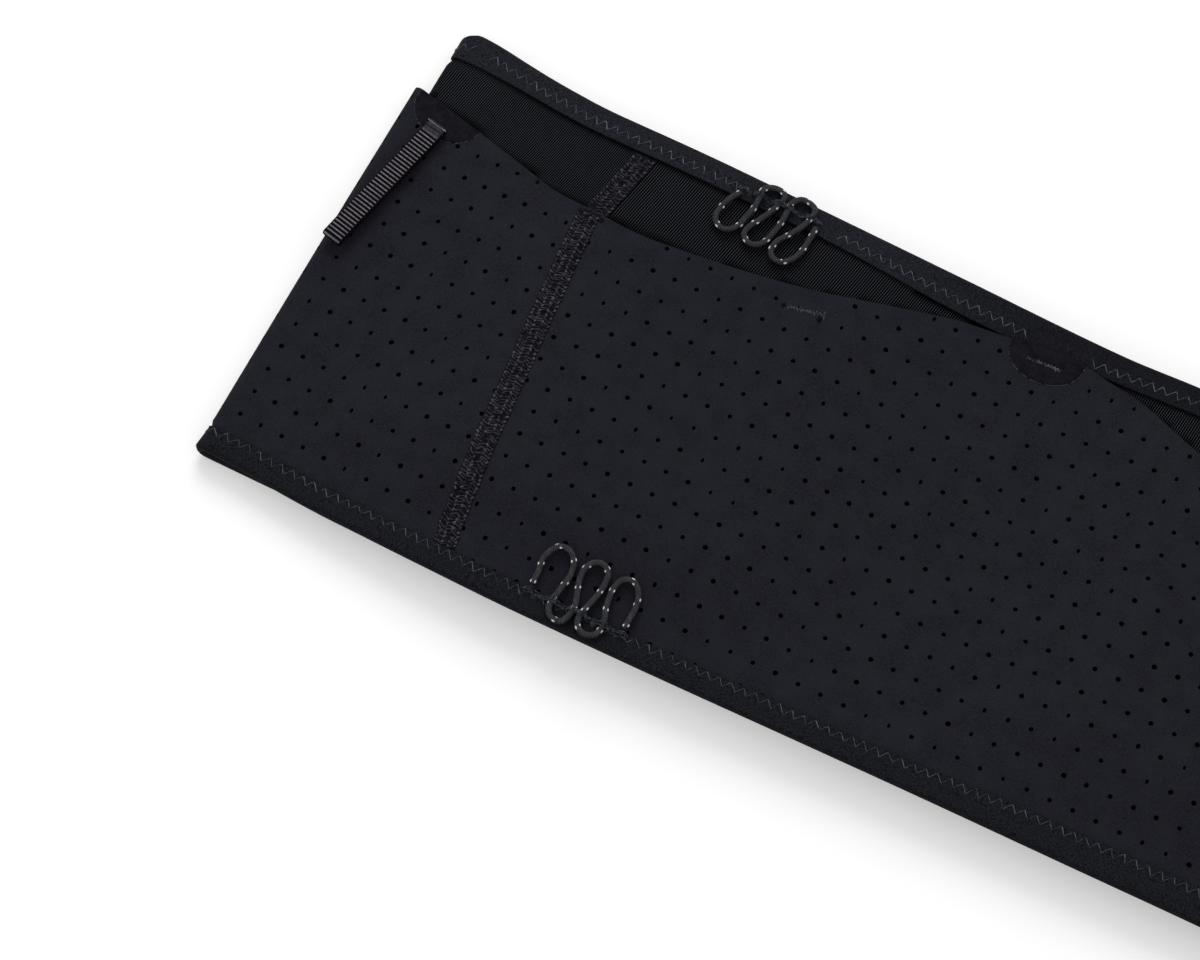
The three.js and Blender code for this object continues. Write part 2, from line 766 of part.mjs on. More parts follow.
// Band of stitches over the cord, just outside the line where its loops hinge
function stitchBand(route, inwards) {
  const low = route[0][0] - stitchBandOverhang;
  const high = route[route.length - 1][0] + stitchBandOverhang;
  const leg = stitchBandThickness * 2;
  const floor = -cordDiameter / 2;
  const roof = cordDiameter / 2 + layerGap;
  const shape = new THREE.Shape([
    new THREE.Vector2(low, floor),
    new THREE.Vector2(low + leg, floor),
    new THREE.Vector2(low + leg, roof),
    new THREE.Vector2(high - leg, roof),
    new THREE.Vector2(high - leg, floor),
    new THREE.Vector2(high, floor),
    new THREE.Vector2(high, roof + stitchBandThickness),
    new THREE.Vector2(low, roof + stitchBandThickness),
  ]);
  const geometry = acrossWebbing(shape, stitchBandWidth);
  geometry.translate(0, -inwards * (stitchBandWidth / 2 + cordCut), 0);
  return geometry;
}

function mirrorRoute(route) {
  return route.map(([x, y]) => [-x, y]).reverse();
}

// Cord laid over a binding and down onto the sheet beside it
function addCord(name, hand, route, share, edge, inset, inwards, stack, sheetTop) {
  const x = hand < 0 ? xAt(share) : xAt(1 - share);
  const y = edge(x) + inwards * inset;
  const onBinding = stack + elasticThickness;
  const height = frontBase(x) + onBinding + layerGap + cordDiameter / 2;
  const frame = new THREE.Group();
  frame.position.set(x, y, height);
  belt.add(frame);
  const laid = hand < 0 ? route : mirrorRoute(route);
  const points = laid.map(([alongBy, acrossBy]) => {
    const past = eased((acrossBy * inwards - cordFallStart) / cordFallRun);
    const sheet = sheetTop(x + alongBy, y + acrossBy) + cordFloat;
    return new THREE.Vector3(alongBy, acrossBy, past * (sheet - onBinding));
  });
  const pieces = cordPieces(points, inwards);
  pieces.loops.forEach((geometry, i) => {
    addPiece(`${name}_cord_loop_${i + 1}`, geometry, looks.cord, frame);
  });
  pieces.bends.forEach((geometry, i) => {
    addPiece(`${name}_cord_bend_${i + 1}`, geometry, looks.cord, frame);
  });
  addPiece(`${name}_cord_stitching`, stitchBand(laid, inwards), looks.thread, frame);
}

for (const [sideName, hand] of [['left', -1], ['right', 1]]) {
  addCord(`${sideName}_top`, hand, topCordRoute, topCordShare,
    topEdge, topCordInset, -1, topStack(0), () => liningTop);
  addCord(`${sideName}_bottom`, hand, bottomCordRoute, bottomCordShare,
    frontBottomEdge, bottomCordInset, 1, bottomStack(), (x, y) => panelTop + outerLift(x, y));
}

export default belt;
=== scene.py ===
import math

import bpy
import numpy as np
from mathutils import Matrix, Vector
from mathutils.geometry import delaunay_2d_cdt


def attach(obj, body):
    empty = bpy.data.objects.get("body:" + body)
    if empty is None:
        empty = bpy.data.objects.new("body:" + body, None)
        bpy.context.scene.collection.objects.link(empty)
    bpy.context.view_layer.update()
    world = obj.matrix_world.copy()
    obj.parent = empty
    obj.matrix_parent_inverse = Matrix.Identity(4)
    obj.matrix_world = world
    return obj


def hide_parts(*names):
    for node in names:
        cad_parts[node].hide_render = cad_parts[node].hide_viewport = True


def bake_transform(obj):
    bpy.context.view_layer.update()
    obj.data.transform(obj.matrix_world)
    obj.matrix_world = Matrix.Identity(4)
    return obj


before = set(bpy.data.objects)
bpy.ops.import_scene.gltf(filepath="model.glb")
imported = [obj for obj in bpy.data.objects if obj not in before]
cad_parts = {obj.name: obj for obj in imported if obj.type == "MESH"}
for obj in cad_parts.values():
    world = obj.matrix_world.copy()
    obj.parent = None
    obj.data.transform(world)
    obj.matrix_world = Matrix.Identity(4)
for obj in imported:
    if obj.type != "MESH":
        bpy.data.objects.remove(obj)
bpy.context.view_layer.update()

# Belt as it lies, in metres
BELT_LENGTH = 0.412
BELT_HEIGHT = 0.138
TOP_INSET = 0.0031
TOP_CORNER_RADIUS = 0.004
BOTTOM_CORNER_RADIUS = 0.0003
CORNER_TURN = 0.92
FRONT_DROP = 0.0027
FRONT_DROP_RUN = 0.04
LEAN_REACH = 0.06

# Layers
PANEL = 0.0006
LINING = 0.0005
ELASTIC = 0.0006
GAP = 0.0003
INNER_FOLD_RADIUS = 0.0004
WAIST_CLEARANCE = 0.0044
WAIST_RUN = 0.088
POCKET_LIFT = 0.0046
POCKET_RUN = 0.054
POCKET_FLOOR_RUN = 0.028
DIVIDER_RUN = 0.042
RIM_LIFT_RUN = 0.007

# Bindings, seams and patches
TOP_BINDING_WIDTH = 0.0075
BOTTOM_BINDING_WIDTH = 0.0069
BINDING_NOSE = 0.001
FLARE = 0.0008
CORNER_RISE = 0.0008
FLARE_RUN = 0.03
SEAM_WIDTH = 0.0065
PATCH_CHORD = 0.0205
PATCH_DEPTH = 0.0084
PATCH = 0.00035
PATCH_RIM_INSET = 0.0005
PATCH_RIM_MARGIN = 0.00015

# Shares of the belt's length, and of its height above the bottom left corner
BOTTOM_EDGE_SHARES = [
    (0, 0.0055), (0.05, 0.006), (0.095, 0.0075), (0.15, 0.0025), (0.2, -0.001), (0.23, -0.0012),
    (0.32, 0.003), (0.42, 0.0105),
    (0.5, 0.016), (0.6, 0.021), (0.7, 0.026), (0.8, 0.027), (0.9, 0.0215), (1, 0.0135),
]
TOP_EDGE_SHARES = [
    (0, 1.012), (0.024, 1.01), (0.055, 1), (0.085, 0.9895), (0.116, 0.9815), (0.175, 0.978),
    (0.26, 0.973), (0.376, 0.9656), (0.49, 0.958), (0.545, 0.9646), (0.65, 0.974), (0.75, 0.981),
    (0.85, 0.988), (0.93, 1), (1, 1.01),
]
RIM_SHARES = [
    (0, 0.864), (0.05, 0.829), (0.092, 0.793), (0.12, 0.768), (0.15, 0.758), (0.185, 0.751),
    (0.216, 0.7584), (0.247, 0.7695), (0.2765, 0.7835), (0.306, 0.801), (0.334, 0.824),
    (0.354, 0.8435), (0.39, 0.876), (0.4237, 0.8904), (0.446, 0.902), (0.464, 0.9044),
    (0.49, 0.893), (0.5198, 0.8755), (0.5486, 0.842), (0.58, 0.81), (0.63, 0.775), (0.7, 0.755),
    (0.78, 0.75), (0.86, 0.775), (0.93, 0.817), (1, 0.864),
]
SEAM_SHARES = [
    (0, 0.1705), (0.38, 0.159), (0.75, 0.1487), (0.84, 0.15), (0.925, 0.1553), (1.02, 0.158),
]
REAR_SEAM_SHARE = 0.15
INSET_START_SHARE = 0.72
INSET_END_SHARE = 0.87
# How far the folds draw in at the bottom binding, by share of the height
LOW_TUCK_SHARES = [
    (0, 0.0002), (0.01, 0.0003), (0.045, 0.0008), (0.057, 0.0008), (0.066, 0), (0.08, 0), (1, 0),
]
TUCK = 0.0009
TUCK_START_SHARE = 0.932
TUCK_RUN_SHARE = 0.018
# How far the left fold draws in, by share of the height
LEAN_SHARES = [(0, -0.0006), (0.5, 0), (0.86, 0.00085), (1, 0.0011)]
LIP_SHARES = [
    (0, 0.0008), (0.07, 0), (0.28, 0), (0.31, 0.0004), (0.38, 0.0021), (0.43, 0.0021),
    (0.475, 0.0008), (0.52, 0.0004), (0.6, 0), (0.93, 0), (1, 0.0008),
]
DIVIDER_SHARE = 0.4495
CORNER_PATCH_SHARE = 0.0307
PLAIN_TACK_SHARE = 0.2982
TOP_CORD_SHARE = 0.2561
BOTTOM_CORD_SHARE = 0.2646
LEFT_POCKET_SHARES = (0.034, 0.419)
RIGHT_POCKET_SHARES = (0.48, 0.966)

# Cords
CORD_DIAMETER = 0.002
TOP_CORD_INSET = 0.0056
BOTTOM_CORD_INSET = 0.0067
CORD_FALL_START = 0.0024
CORD_FALL_RUN = 0.004
CORD_FLOAT = 0.0002

# Heights worked out from the layers
BINDING_STACK = ELASTIC + GAP
PANEL_BASE = LINING + GAP
PANEL_TOP = PANEL_BASE + PANEL
FOLD_RADIUS = INNER_FOLD_RADIUS + BINDING_STACK
MIDDLE_HALF_GAP = WAIST_CLEARANCE / 2 + BINDING_STACK
REAR_BASE = PANEL_TOP + BINDING_STACK
FOLD_LEVEL = REAR_BASE + FOLD_RADIUS
HALF_LENGTH = BELT_LENGTH / 2
BOTTOM_Y = -BELT_HEIGHT / 2
WRAP_RADIUS = FOLD_RADIUS + PANEL_TOP
WRAP_RUN = math.pi * WRAP_RADIUS
REACH = HALF_LENGTH - WRAP_RADIUS
CAUGHT = ELASTIC + BINDING_NOSE + GAP
REAR_SEAM_X = HALF_LENGTH - BELT_LENGTH * REAR_SEAM_SHARE
STACK_RUN = 4 * SEAM_WIDTH
TOP_STACK = LINING + GAP
BOTTOM_STACK = PANEL_TOP + GAP

rng = np.random.RandomState(7)


def eased(value):
    t = np.clip(value, 0, 1)
    return t * t * (3 - 2 * t)


def follow(table, at):
    """Smooth curve through a table of pairs."""
    xs, ys = np.array(table, float).T
    last = len(xs) - 1
    index = np.arange(len(xs))
    before = np.maximum(index - 1, 0)
    after = np.minimum(index + 1, last)
    slopes = (ys[after] - ys[before]) / (xs[after] - xs[before])
    right = np.clip(np.searchsorted(xs, at, side="right"), 1, last)
    left = right - 1
    width = xs[right] - xs[left]
    t = np.clip((at - xs[left]) / width, 0, 1)
    rise = (ys[right] - ys[left]) * (3 * t**2 - 2 * t**3)
    leave = slopes[left] * width * (t**3 - 2 * t**2 + t)
    arrive = slopes[right] * width * (t**3 - t**2)
    return ys[left] + rise + leave + arrive


def share_along(x):
    return x / BELT_LENGTH + 0.5


def x_at(share):
    return (share - 0.5) * BELT_LENGTH


def share_up(y):
    return (y - BOTTOM_Y) / BELT_HEIGHT


def curve_y(table, x):
    """Height of a curve that runs along the belt."""
    return BOTTOM_Y + BELT_HEIGHT * follow(table, share_along(x))


def bottom_edge(x):
    return curve_y(BOTTOM_EDGE_SHARES, x)


def front_bottom_edge(x):
    """The front hangs a little lower than the rear between the folds."""
    return bottom_edge(x) - FRONT_DROP * eased((REACH - np.abs(x)) / FRONT_DROP_RUN)


def top_edge(x):
    return curve_y(TOP_EDGE_SHARES, x)


def rim(x):
    return curve_y(RIM_SHARES, x)


def seam_x(y):
    return HALF_LENGTH - BELT_LENGTH * follow(SEAM_SHARES, share_up(y))


def outer_reach(y):
    return REACH - follow(LOW_TUCK_SHARES, share_up(y))


def inner_reach(y):
    share = share_up(y)
    drawn = TOP_INSET * eased((share - INSET_START_SHARE) / (INSET_END_SHARE - INSET_START_SHARE))
    return outer_reach(y) - drawn - TUCK * eased((share - TUCK_START_SHARE) / TUCK_RUN_SHARE)


def lean(x, y):
    near = eased((LEAN_REACH - HALF_LENGTH - x) / LEAN_REACH)
    return near * follow(LEAN_SHARES, share_up(y))


def front_base(x, reach=REACH):
    opened = (MIDDLE_HALF_GAP - FOLD_RADIUS) * eased((reach - np.abs(x)) / WAIST_RUN)
    return REAR_BASE + 2 * (FOLD_RADIUS + opened)


def outer_lift(x, y):
    """How far the outer layer stands off over the pockets and over the top binding."""
    share = share_along(x)
    start, end = LEFT_POCKET_SHARES
    left = eased((share - start) * BELT_LENGTH / POCKET_RUN)
    left = left * eased((end - share) * BELT_LENGTH / DIVIDER_RUN)
    start, end = RIGHT_POCKET_SHARES
    right = eased((share - start) * BELT_LENGTH / DIVIDER_RUN)
    right = right * eased((end - share) * BELT_LENGTH / POCKET_RUN)
    floor = front_bottom_edge(x) + BOTTOM_BINDING_WIDTH + ELASTIC
    bulge = POCKET_LIFT * (left + right) * eased((y - floor) / POCKET_FLOOR_RUN)
    over = BINDING_STACK * eased((y - top_edge(x) + TOP_BINDING_WIDTH) / RIM_LIFT_RUN + 1)
    return bulge + over


# The tube is drawn flat: u runs along its outer face from the middle of the front round the
# fold to the middle of the rear, y across it, and a height above a face stands on both
REAR_MIDDLE = 2 * REACH + WRAP_RUN


def place_of(u):
    """0 to 1 along the front, 1 to 2 round the fold, 2 to 3 along the rear."""
    far = np.abs(u)
    front = far / REACH
    fold = 1 + (far - REACH) / WRAP_RUN
    rear = 2 + (far - REACH - WRAP_RUN) / REACH
    return np.where(far <= REACH, front, np.where(far <= REACH + WRAP_RUN, fold, rear))


def by_part(far, front, fold, rear):
    """The value that holds in front, round the fold or behind."""
    return np.where(far <= 1, front, np.where(far < 2, fold, rear))


def fold_angle(far):
    """Turn round the fold: straight up where it leaves the front, straight down at the rear."""
    return (1.5 - far) * math.pi


def x_of(u):
    """Place along the belt of a point of the flat drawing."""
    far = place_of(u)
    fold = REACH + FOLD_RADIUS * np.cos(fold_angle(far))
    return np.sign(u) * by_part(far, far * REACH, fold, (3 - far) * REACH)


def on_tube(u, y, offset, inner=False, lifted=False):
    """Points of the row frame for points of the flat drawing."""
    u, y, offset = np.broadcast_arrays(np.asarray(u, float), y, offset)
    far = place_of(u)
    side = np.where(u < 0, -1.0, 1.0)
    reach = inner_reach(y) if inner else outer_reach(y)
    angle = fold_angle(np.clip(far, 1, 2))
    radius = FOLD_RADIUS + offset
    x_front = far * reach
    rise = outer_lift(side * x_front, y) if lifted else 0.0
    x = side * by_part(far, x_front, reach + radius * np.cos(angle), (3 - far) * reach)
    front = front_base(x_front, reach) + offset + rise
    z = by_part(far, front, FOLD_LEVEL + radius * np.sin(angle), REAR_BASE - offset)
    return np.stack([x + lean(x, y), y, z], -1)


def corner_drop(u, radius):
    """How far an edge draws in towards the end of the belt, as a rounded corner."""
    t = np.clip(1 - (REACH + FOLD_RADIUS - np.abs(x_of(u))) / radius, 0, 1)
    return radius * (1 - np.sqrt(1 - (CORNER_TURN * t) ** 2))


def near_fold(x):
    return eased((np.abs(x) - HALF_LENGTH + FLARE_RUN) / FLARE_RUN)


def top_binding_lip(u):
    """Lower edge of the top binding: in front it hangs lower left of the divider."""
    x = x_of(u)
    front = follow(LIP_SHARES, share_along(x))
    return top_edge(x) - TOP_BINDING_WIDTH - np.where(place_of(u) <= 1, front, FLARE * near_fold(x))


def low_edge(u):
    x = x_of(u)
    edge = np.where(place_of(u) <= 1, front_bottom_edge(x), bottom_edge(x))
    return edge + corner_drop(u, BOTTOM_CORNER_RADIUS)


def high_edge(u):
    x = x_of(u)
    return top_edge(x) + CORNER_RISE * near_fold(x) - corner_drop(u, TOP_CORNER_RADIUS)


def low_end(u):
    return low_edge(u) + CAUGHT


def high_end(u):
    return high_edge(u) - CAUGHT


def side_rim(u):
    """Rim of a side panel: the pocket rim in front, then up to the top binding behind."""
    x = x_of(u)
    under = top_edge(x) - TOP_BINDING_WIDTH - ELASTIC
    climb = (HALF_LENGTH - np.abs(x)) / (HALF_LENGTH - REAR_SEAM_X - GAP)
    rear = np.where(climb >= 1, high_end(u), rim(x) + (under - rim(x)) * eased(climb))
    return np.where(place_of(u) <= 2, rim(x), rear)


def add_object(name, data):
    made = bpy.data.objects.new(name, data)
    bpy.context.scene.collection.objects.link(made)
    return made


# Camera at the photograph's angle
CAMERA_AZIMUTH = 27.2
CAMERA_ELEVATION = 68
CAMERA_DISTANCE = 1.16
CAMERA_LENS = 135
CAMERA_SENSOR = 36
CAMERA_TARGET = Vector((-0.1089, -0.0291, 0.0068))


def add_camera():
    azimuth, elevation = math.radians(CAMERA_AZIMUTH), math.radians(CAMERA_ELEVATION)
    back = Vector((
        math.sin(azimuth) * math.cos(elevation),
        -math.cos(azimuth) * math.cos(elevation),
        math.sin(elevation),
    ))
    data = bpy.data.cameras.new("camera")
    data.lens = CAMERA_LENS
    data.sensor_width = CAMERA_SENSOR
    camera = add_object("camera", data)
    camera.location = CAMERA_TARGET + back * CAMERA_DISTANCE
    camera.rotation_mode = "QUATERNION"
    camera.rotation_quaternion = (-back).to_track_quat("-Z", "Y")
    bpy.context.scene.camera = camera


add_camera()


# Materials
SHEEN_ROUGHNESS = 0.5
# Sockets of a mix of colours: its factor, its two colours and its result
MIX_INPUTS = (0, 6, 7)
MIX_RESULT = 2
RIB_PITCH = 0.00065
LOOP_PITCH = 0.00062
# Painted shade on the top binding: it darkens from SHADE_START to SHADE_END along the belt and stays
# dark to the right
SHADE_START = -0.07
SHADE_END = -0.03
CALM_SHARE = 0.55
PATCHY_SHARE = 0.6
WEBBING_RIB = 0.001138
# Painted shade along the webbing's edges: where it starts and where it is whole, from the middle
EDGE_SHADE_START = 0.00245
EDGE_SHADE_END = 0.0027


class Finish:
    """A material made of nodes, on the drawing's own coordinates or the row frame's."""

    def __init__(self, name, roughness, specular=0.2, sheen=0.0):
        self.material = bpy.data.materials.new(name)
        self.material.use_nodes = True
        self.tree = self.material.node_tree
        self.shader = self.tree.nodes["Principled BSDF"]
        self.shader.inputs["Roughness"].default_value = roughness
        self.shader.inputs["Specular IOR Level"].default_value = specular
        self.shader.inputs["Sheen Weight"].default_value = sheen
        self.shader.inputs["Sheen Roughness"].default_value = SHEEN_ROUGHNESS

    def add(self, kind, inputs=(), **settings):
        """Outputs of a new node, whose inputs are values or other nodes' sockets."""
        made = self.tree.nodes.new("ShaderNode" + kind)
        for key, value in settings.items():
            setattr(made, key, value)
        for key, value in dict(inputs).items():
            if isinstance(value, bpy.types.NodeSocket):
                self.tree.links.new(value, made.inputs[key])
            else:
                made.inputs[key].default_value = value
        return made.outputs

    def math(self, operation, a, b=0.0):
        return self.add("Math", {0: a, 1: b}, operation=operation)[0]

    def place(self, kind="Object"):
        return self.add("TexCoord")[kind]

    def noise(self, scale, detail=2.0, kind="Object", stretch=(1, 1, 1)):
        vector = self.add("Mapping", {"Vector": self.place(kind), "Scale": stretch})["Vector"]
        return self.add("TexNoise", {"Vector": vector, "Scale": scale, "Detail": detail})[0]

    def mix(self, factor, a, b):
        return self.add("Mix", zip(MIX_INPUTS, (factor, a, b)), data_type="RGBA")[MIX_RESULT]

    def ramp(self, value, low, high):
        """Value stretched so that low becomes 0 and high becomes 1."""
        made = self.add("MapRange", {"Value": value, "From Min": low, "From Max": high})
        return made["Result"]

    def colour(self, socket):
        self.tree.links.new(socket, self.shader.inputs["Base Color"])

    def bump(self, height, distance, strength=1.0):
        inputs = {"Height": height, "Distance": distance, "Strength": strength}
        self.tree.links.new(self.add("Bump", inputs)["Normal"], self.shader.inputs["Normal"])


def srgb(red, green, blue):
    """A colour as it is read off a screen, as the shader needs it."""
    values = [value / 255 for value in (red, green, blue)]
    return (*[v / 12.92 if v <= 0.04045 else ((v + 0.055) / 1.055) ** 2.4 for v in values], 1)


def perforated_fabric():
    finish = Finish("perforated_fabric", 0.9, specular=0.06, sheen=0.02)
    mottle = finish.ramp(finish.noise(150, 4), 0.35, 0.65)
    knit = finish.ramp(finish.noise(2200, 2), 0.3, 0.7)
    body = finish.mix(mottle, srgb(21, 21, 29), srgb(31, 31, 39))
    finish.colour(finish.mix(knit, body, srgb(37, 38, 45)))
    finish.bump(finish.noise(3200, 1), 0.00004)
    return finish.material


def ribbed_mesh():
    finish = Finish("ribbed_mesh", 0.9, specular=0.03)
    place = finish.add("SeparateXYZ", {0: finish.place("UV")})
    phase = finish.math("MULTIPLY", place[0], 2 * math.pi / RIB_PITCH)
    rib = finish.ramp(finish.math("SINE", phase), 0.3, 0.95)
    turns = finish.math("MULTIPLY", place[1], 2 * math.pi / LOOP_PITCH)
    loops = finish.math("SINE", finish.math("ADD", turns, finish.math("MULTIPLY", phase, 0.5)))
    light = finish.mix(finish.ramp(loops, -0.8, 0.8), srgb(38, 40, 46), srgb(74, 76, 84))
    unshaded = finish.mix(rib, srgb(1, 1, 1), light)
    # Painted shade: near black where the pocket's rim and the top binding's lip shade the lining; its
    # tones hold the unshaded share
    unshaded_share = finish.add("Attribute", attribute_name="tones")["Fac"]
    finish.colour(finish.mix(unshaded_share, srgb(2, 2, 3), unshaded))
    return finish.material


def fold_over_elastic(name, low, high, shade=0.0):
    """Heather knit: uneven light and dark specks; painted shade darkens it by shade right of SHADE_END,
    where it turns away from the light.
    """
    finish = Finish(name, 0.9, specular=0.05, sheen=0.03)
    specks = finish.ramp(finish.noise(2300, 2), 0.36, 0.64)
    patches = finish.ramp(finish.noise(380, 3), 0.35, 0.65)
    body = finish.mix(specks, low, high)
    calm = finish.mix(CALM_SHARE, low, high)
    knit = finish.mix(finish.math("MULTIPLY", patches, PATCHY_SHARE), body, calm)
    along = finish.add("SeparateXYZ", {0: finish.place()})[0]
    darker = finish.math("MULTIPLY", finish.ramp(along, SHADE_START, SHADE_END), shade)
    finish.colour(finish.mix(darker, knit, low))
    finish.bump(finish.noise(1900, 2), 0.00009)
    return finish.material


def seam_thread(name, low, high):
    finish = Finish(name, 0.8, specular=0.06)
    finish.colour(finish.mix(finish.ramp(finish.noise(900), 0.35, 0.65), low, high))
    finish.bump(finish.noise(5000, 1), 0.00003)
    return finish.material


def bonded_patch():
    finish = Finish("bonded_patch", 0.85, specular=0.06)
    mottle = finish.ramp(finish.noise(420, 3), 0.35, 0.65)
    grain = finish.ramp(finish.noise(2600, 1), 0.35, 0.65)
    body = finish.mix(mottle, srgb(10, 10, 14), srgb(24, 24, 30))
    finish.colour(finish.mix(finish.math("MULTIPLY", grain, 0.5), body, srgb(29, 29, 36)))
    finish.bump(finish.noise(2500, 1), 0.00003)
    return finish.material


def ribbed_webbing():
    finish = Finish("ribbed_webbing", 0.75, specular=0.05)
    place = finish.add("SeparateXYZ", {0: finish.place("UV")})
    turns = finish.math("FRACT", finish.math("DIVIDE", place[0], WEBBING_RIB))
    near = finish.math("ABSOLUTE", finish.math("SUBTRACT", turns, 0.5))
    # Painted highlight: a light line on the crest of each rib
    line = finish.ramp(near, 0.2, 0.1)
    yarn = finish.ramp(finish.noise(1500), 0.3, 0.7)
    light = finish.mix(yarn, srgb(88, 84, 93), srgb(138, 134, 141))
    body = finish.mix(line, srgb(9, 6, 12), light)
    # Painted shade along both edges of the webbing
    edge_shade = finish.ramp(finish.math("ABSOLUTE", place[1]), EDGE_SHADE_START, EDGE_SHADE_END)
    finish.colour(finish.mix(edge_shade, body, srgb(7, 6, 9)))
    return finish.material


def braided_cord():
    finish = Finish("braided_cord", 0.75, specular=0.06)
    tones = finish.add("Attribute", attribute_name="tones")["Color"]
    tone = finish.add("SeparateColor", {0: tones})
    # Tone 0 holds the strands' tone with their painted shade, tone 1 the light flecks of the yarn
    strand = finish.mix(tone[0], srgb(2, 2, 3), srgb(124, 125, 132))
    finish.colour(finish.mix(tone[1], strand, srgb(225, 226, 228)))
    return finish.material


MATERIALS = {
    "perforated_fabric": perforated_fabric(),
    "ribbed_mesh": ribbed_mesh(),
    "fold_over_elastic": fold_over_elastic("fold_over_elastic", srgb(10, 11, 15), srgb(44, 45, 52), 0.5),
    "seam_thread": seam_thread("seam_thread", srgb(34, 35, 43), srgb(88, 88, 96)),
    "bonded_patch": bonded_patch(),
    "ribbed_webbing": ribbed_webbing(),
    "elastic_cord": braided_cord(),
}
# Painted shade: the bottom binding's elastic is the same knit painted darker
SHADED_ELASTIC = fold_over_elastic("shaded_elastic", srgb(7, 8, 12), srgb(36, 37, 43))
# Painted light and shade on one zigzag thread: its strokes there are painted lighter than its strokes
# back, and the bottom zigzag takes darker copies
ZIGZAG_THREAD = seam_thread("zigzag_thread", srgb(56, 60, 69), srgb(104, 110, 120))
ZIGZAG_BACK = seam_thread("zigzag_back_thread", srgb(48, 51, 60), srgb(92, 96, 106))
ZIGZAG_DIM = seam_thread("zigzag_dim_thread", srgb(38, 41, 48), srgb(76, 80, 88))
NEEDLE_THREAD = seam_thread("needle_thread", srgb(46, 46, 54), srgb(84, 84, 92))
DIM_THREAD = seam_thread("dim_thread", srgb(32, 33, 39), srgb(56, 58, 65))
COVER_THREAD = seam_thread("cover_thread", srgb(30, 30, 36), srgb(66, 66, 75))
ROW_THREAD = seam_thread("row_thread", srgb(34, 36, 42), srgb(74, 77, 85))
PALE_THREAD = seam_thread("pale_thread", srgb(96, 94, 102), srgb(160, 158, 164))
SEAM_GROUND = seam_thread("seam_ground", srgb(10, 10, 14), srgb(26, 26, 32))
PATCH_EDGE = seam_thread("patch_edge", srgb(40, 40, 49), srgb(88, 88, 98))

SHARP_ANGLE = math.radians(50)


def add_piece(name, slot, points, quads=(), tris=(), uv=None, material=None, attribute=None):
    """A mesh object from arrays; uv and attribute hold a value for each point."""
    quads = np.asarray(quads, np.int32).reshape(-1, 4)
    tris = np.asarray(tris, np.int32).reshape(-1, 3)
    corners = np.concatenate([quads.ravel(), tris.ravel()])
    starts = np.concatenate([np.arange(len(quads)) * 4, quads.size + np.arange(len(tris)) * 3])
    mesh = bpy.data.meshes.new(name)
    mesh.vertices.add(len(points))
    mesh.vertices.foreach_set("co", np.asarray(points, np.float32).ravel())
    mesh.loops.add(len(corners))
    mesh.loops.foreach_set("vertex_index", corners)
    mesh.polygons.add(len(starts))
    mesh.polygons.foreach_set("loop_start", starts.astype(np.int32))
    mesh.polygons.foreach_set("use_smooth", np.ones(len(starts), bool))
    if uv is not None:
        layer = mesh.uv_layers.new(name="drawing")
        layer.data.foreach_set("uv", np.asarray(uv, np.float32)[corners].ravel())
    if attribute is not None:
        tones = mesh.color_attributes.new(name="tones", type="FLOAT_COLOR", domain="POINT")
        tones.data.foreach_set("color", np.asarray(attribute, np.float32).ravel())
    mesh.update(calc_edges=True)
    mesh.validate()
    mesh.set_sharp_from_angle(angle=SHARP_ANGLE)
    mesh.materials.append(material or MATERIALS[slot])
    made = add_object(name, mesh)
    return made


def dress(piece, nodes):
    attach(piece, "belt")
    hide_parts(*nodes)


def two_faces(surface, x, y, first, second):
    """Points of both faces of a thin piece, at two heights over a surface."""
    x, y, first, second = (part.ravel() for part in np.broadcast_arrays(x, y, first, second))
    return np.concatenate([surface(x, y, first), surface(x, y, second)])


def round_angles(count):
    return np.arange(count) / count * 2 * math.pi


def alternating(count):
    """1, -1, 1 and so on."""
    return np.where(np.arange(count) % 2 == 0, 1, -1)


def centred_steps(count, length):
    """Even steps along a length, from half of it before the middle to half of it past it."""
    return (np.arange(count + 1) / count - 0.5) * length


def grid_faces(columns, rows, wraps=False):
    """Quads of a grid of points, column by column."""
    spans = columns if wraps else columns - 1
    i, j = np.meshgrid(np.arange(spans), np.arange(rows - 1), indexing="ij")
    n = (i + 1) % columns
    return np.stack([i * rows + j, n * rows + j, n * rows + j + 1, i * rows + j + 1], -1).reshape(-1, 4)


def thin_faces(columns, rows, wraps=False):
    """Quads of a closed thin body: an under face, an upper face and the walls between."""
    count = columns * rows
    upper = grid_faces(columns, rows, wraps)
    faces = [upper + count, upper[:, ::-1]]
    spans = columns if wraps else columns - 1
    i = np.arange(spans)
    n = (i + 1) % columns
    for row, flip in ((0, 1), (rows - 1, -1)):
        a, b = i * rows + row, n * rows + row
        faces.append(np.stack([a, b, b + count, a + count], -1)[:, ::flip])
    if not wraps:
        j = np.arange(rows - 1)
        for column, flip in ((0, -1), (columns - 1, 1)):
            a, b = column * rows + j, column * rows + j + 1
            faces.append(np.stack([a, b, b + count, a + count], -1)[:, ::flip])
    return np.concatenate(faces)


# Threads: each stitch is a short tube that dips into the face at both ends
THREAD_SIDES = 6
STITCH_SHARES = np.array([0, 0.1, 0.3, 0.5, 0.7, 0.9, 1])
STITCH_RISE_SHARES = np.array([-0.9, 0.35, 0.9, 1, 0.9, 0.35, -0.9])
STITCH_LIFT = 0.6
STITCH_END_SHARE = 0.6
TINY = 1e-9


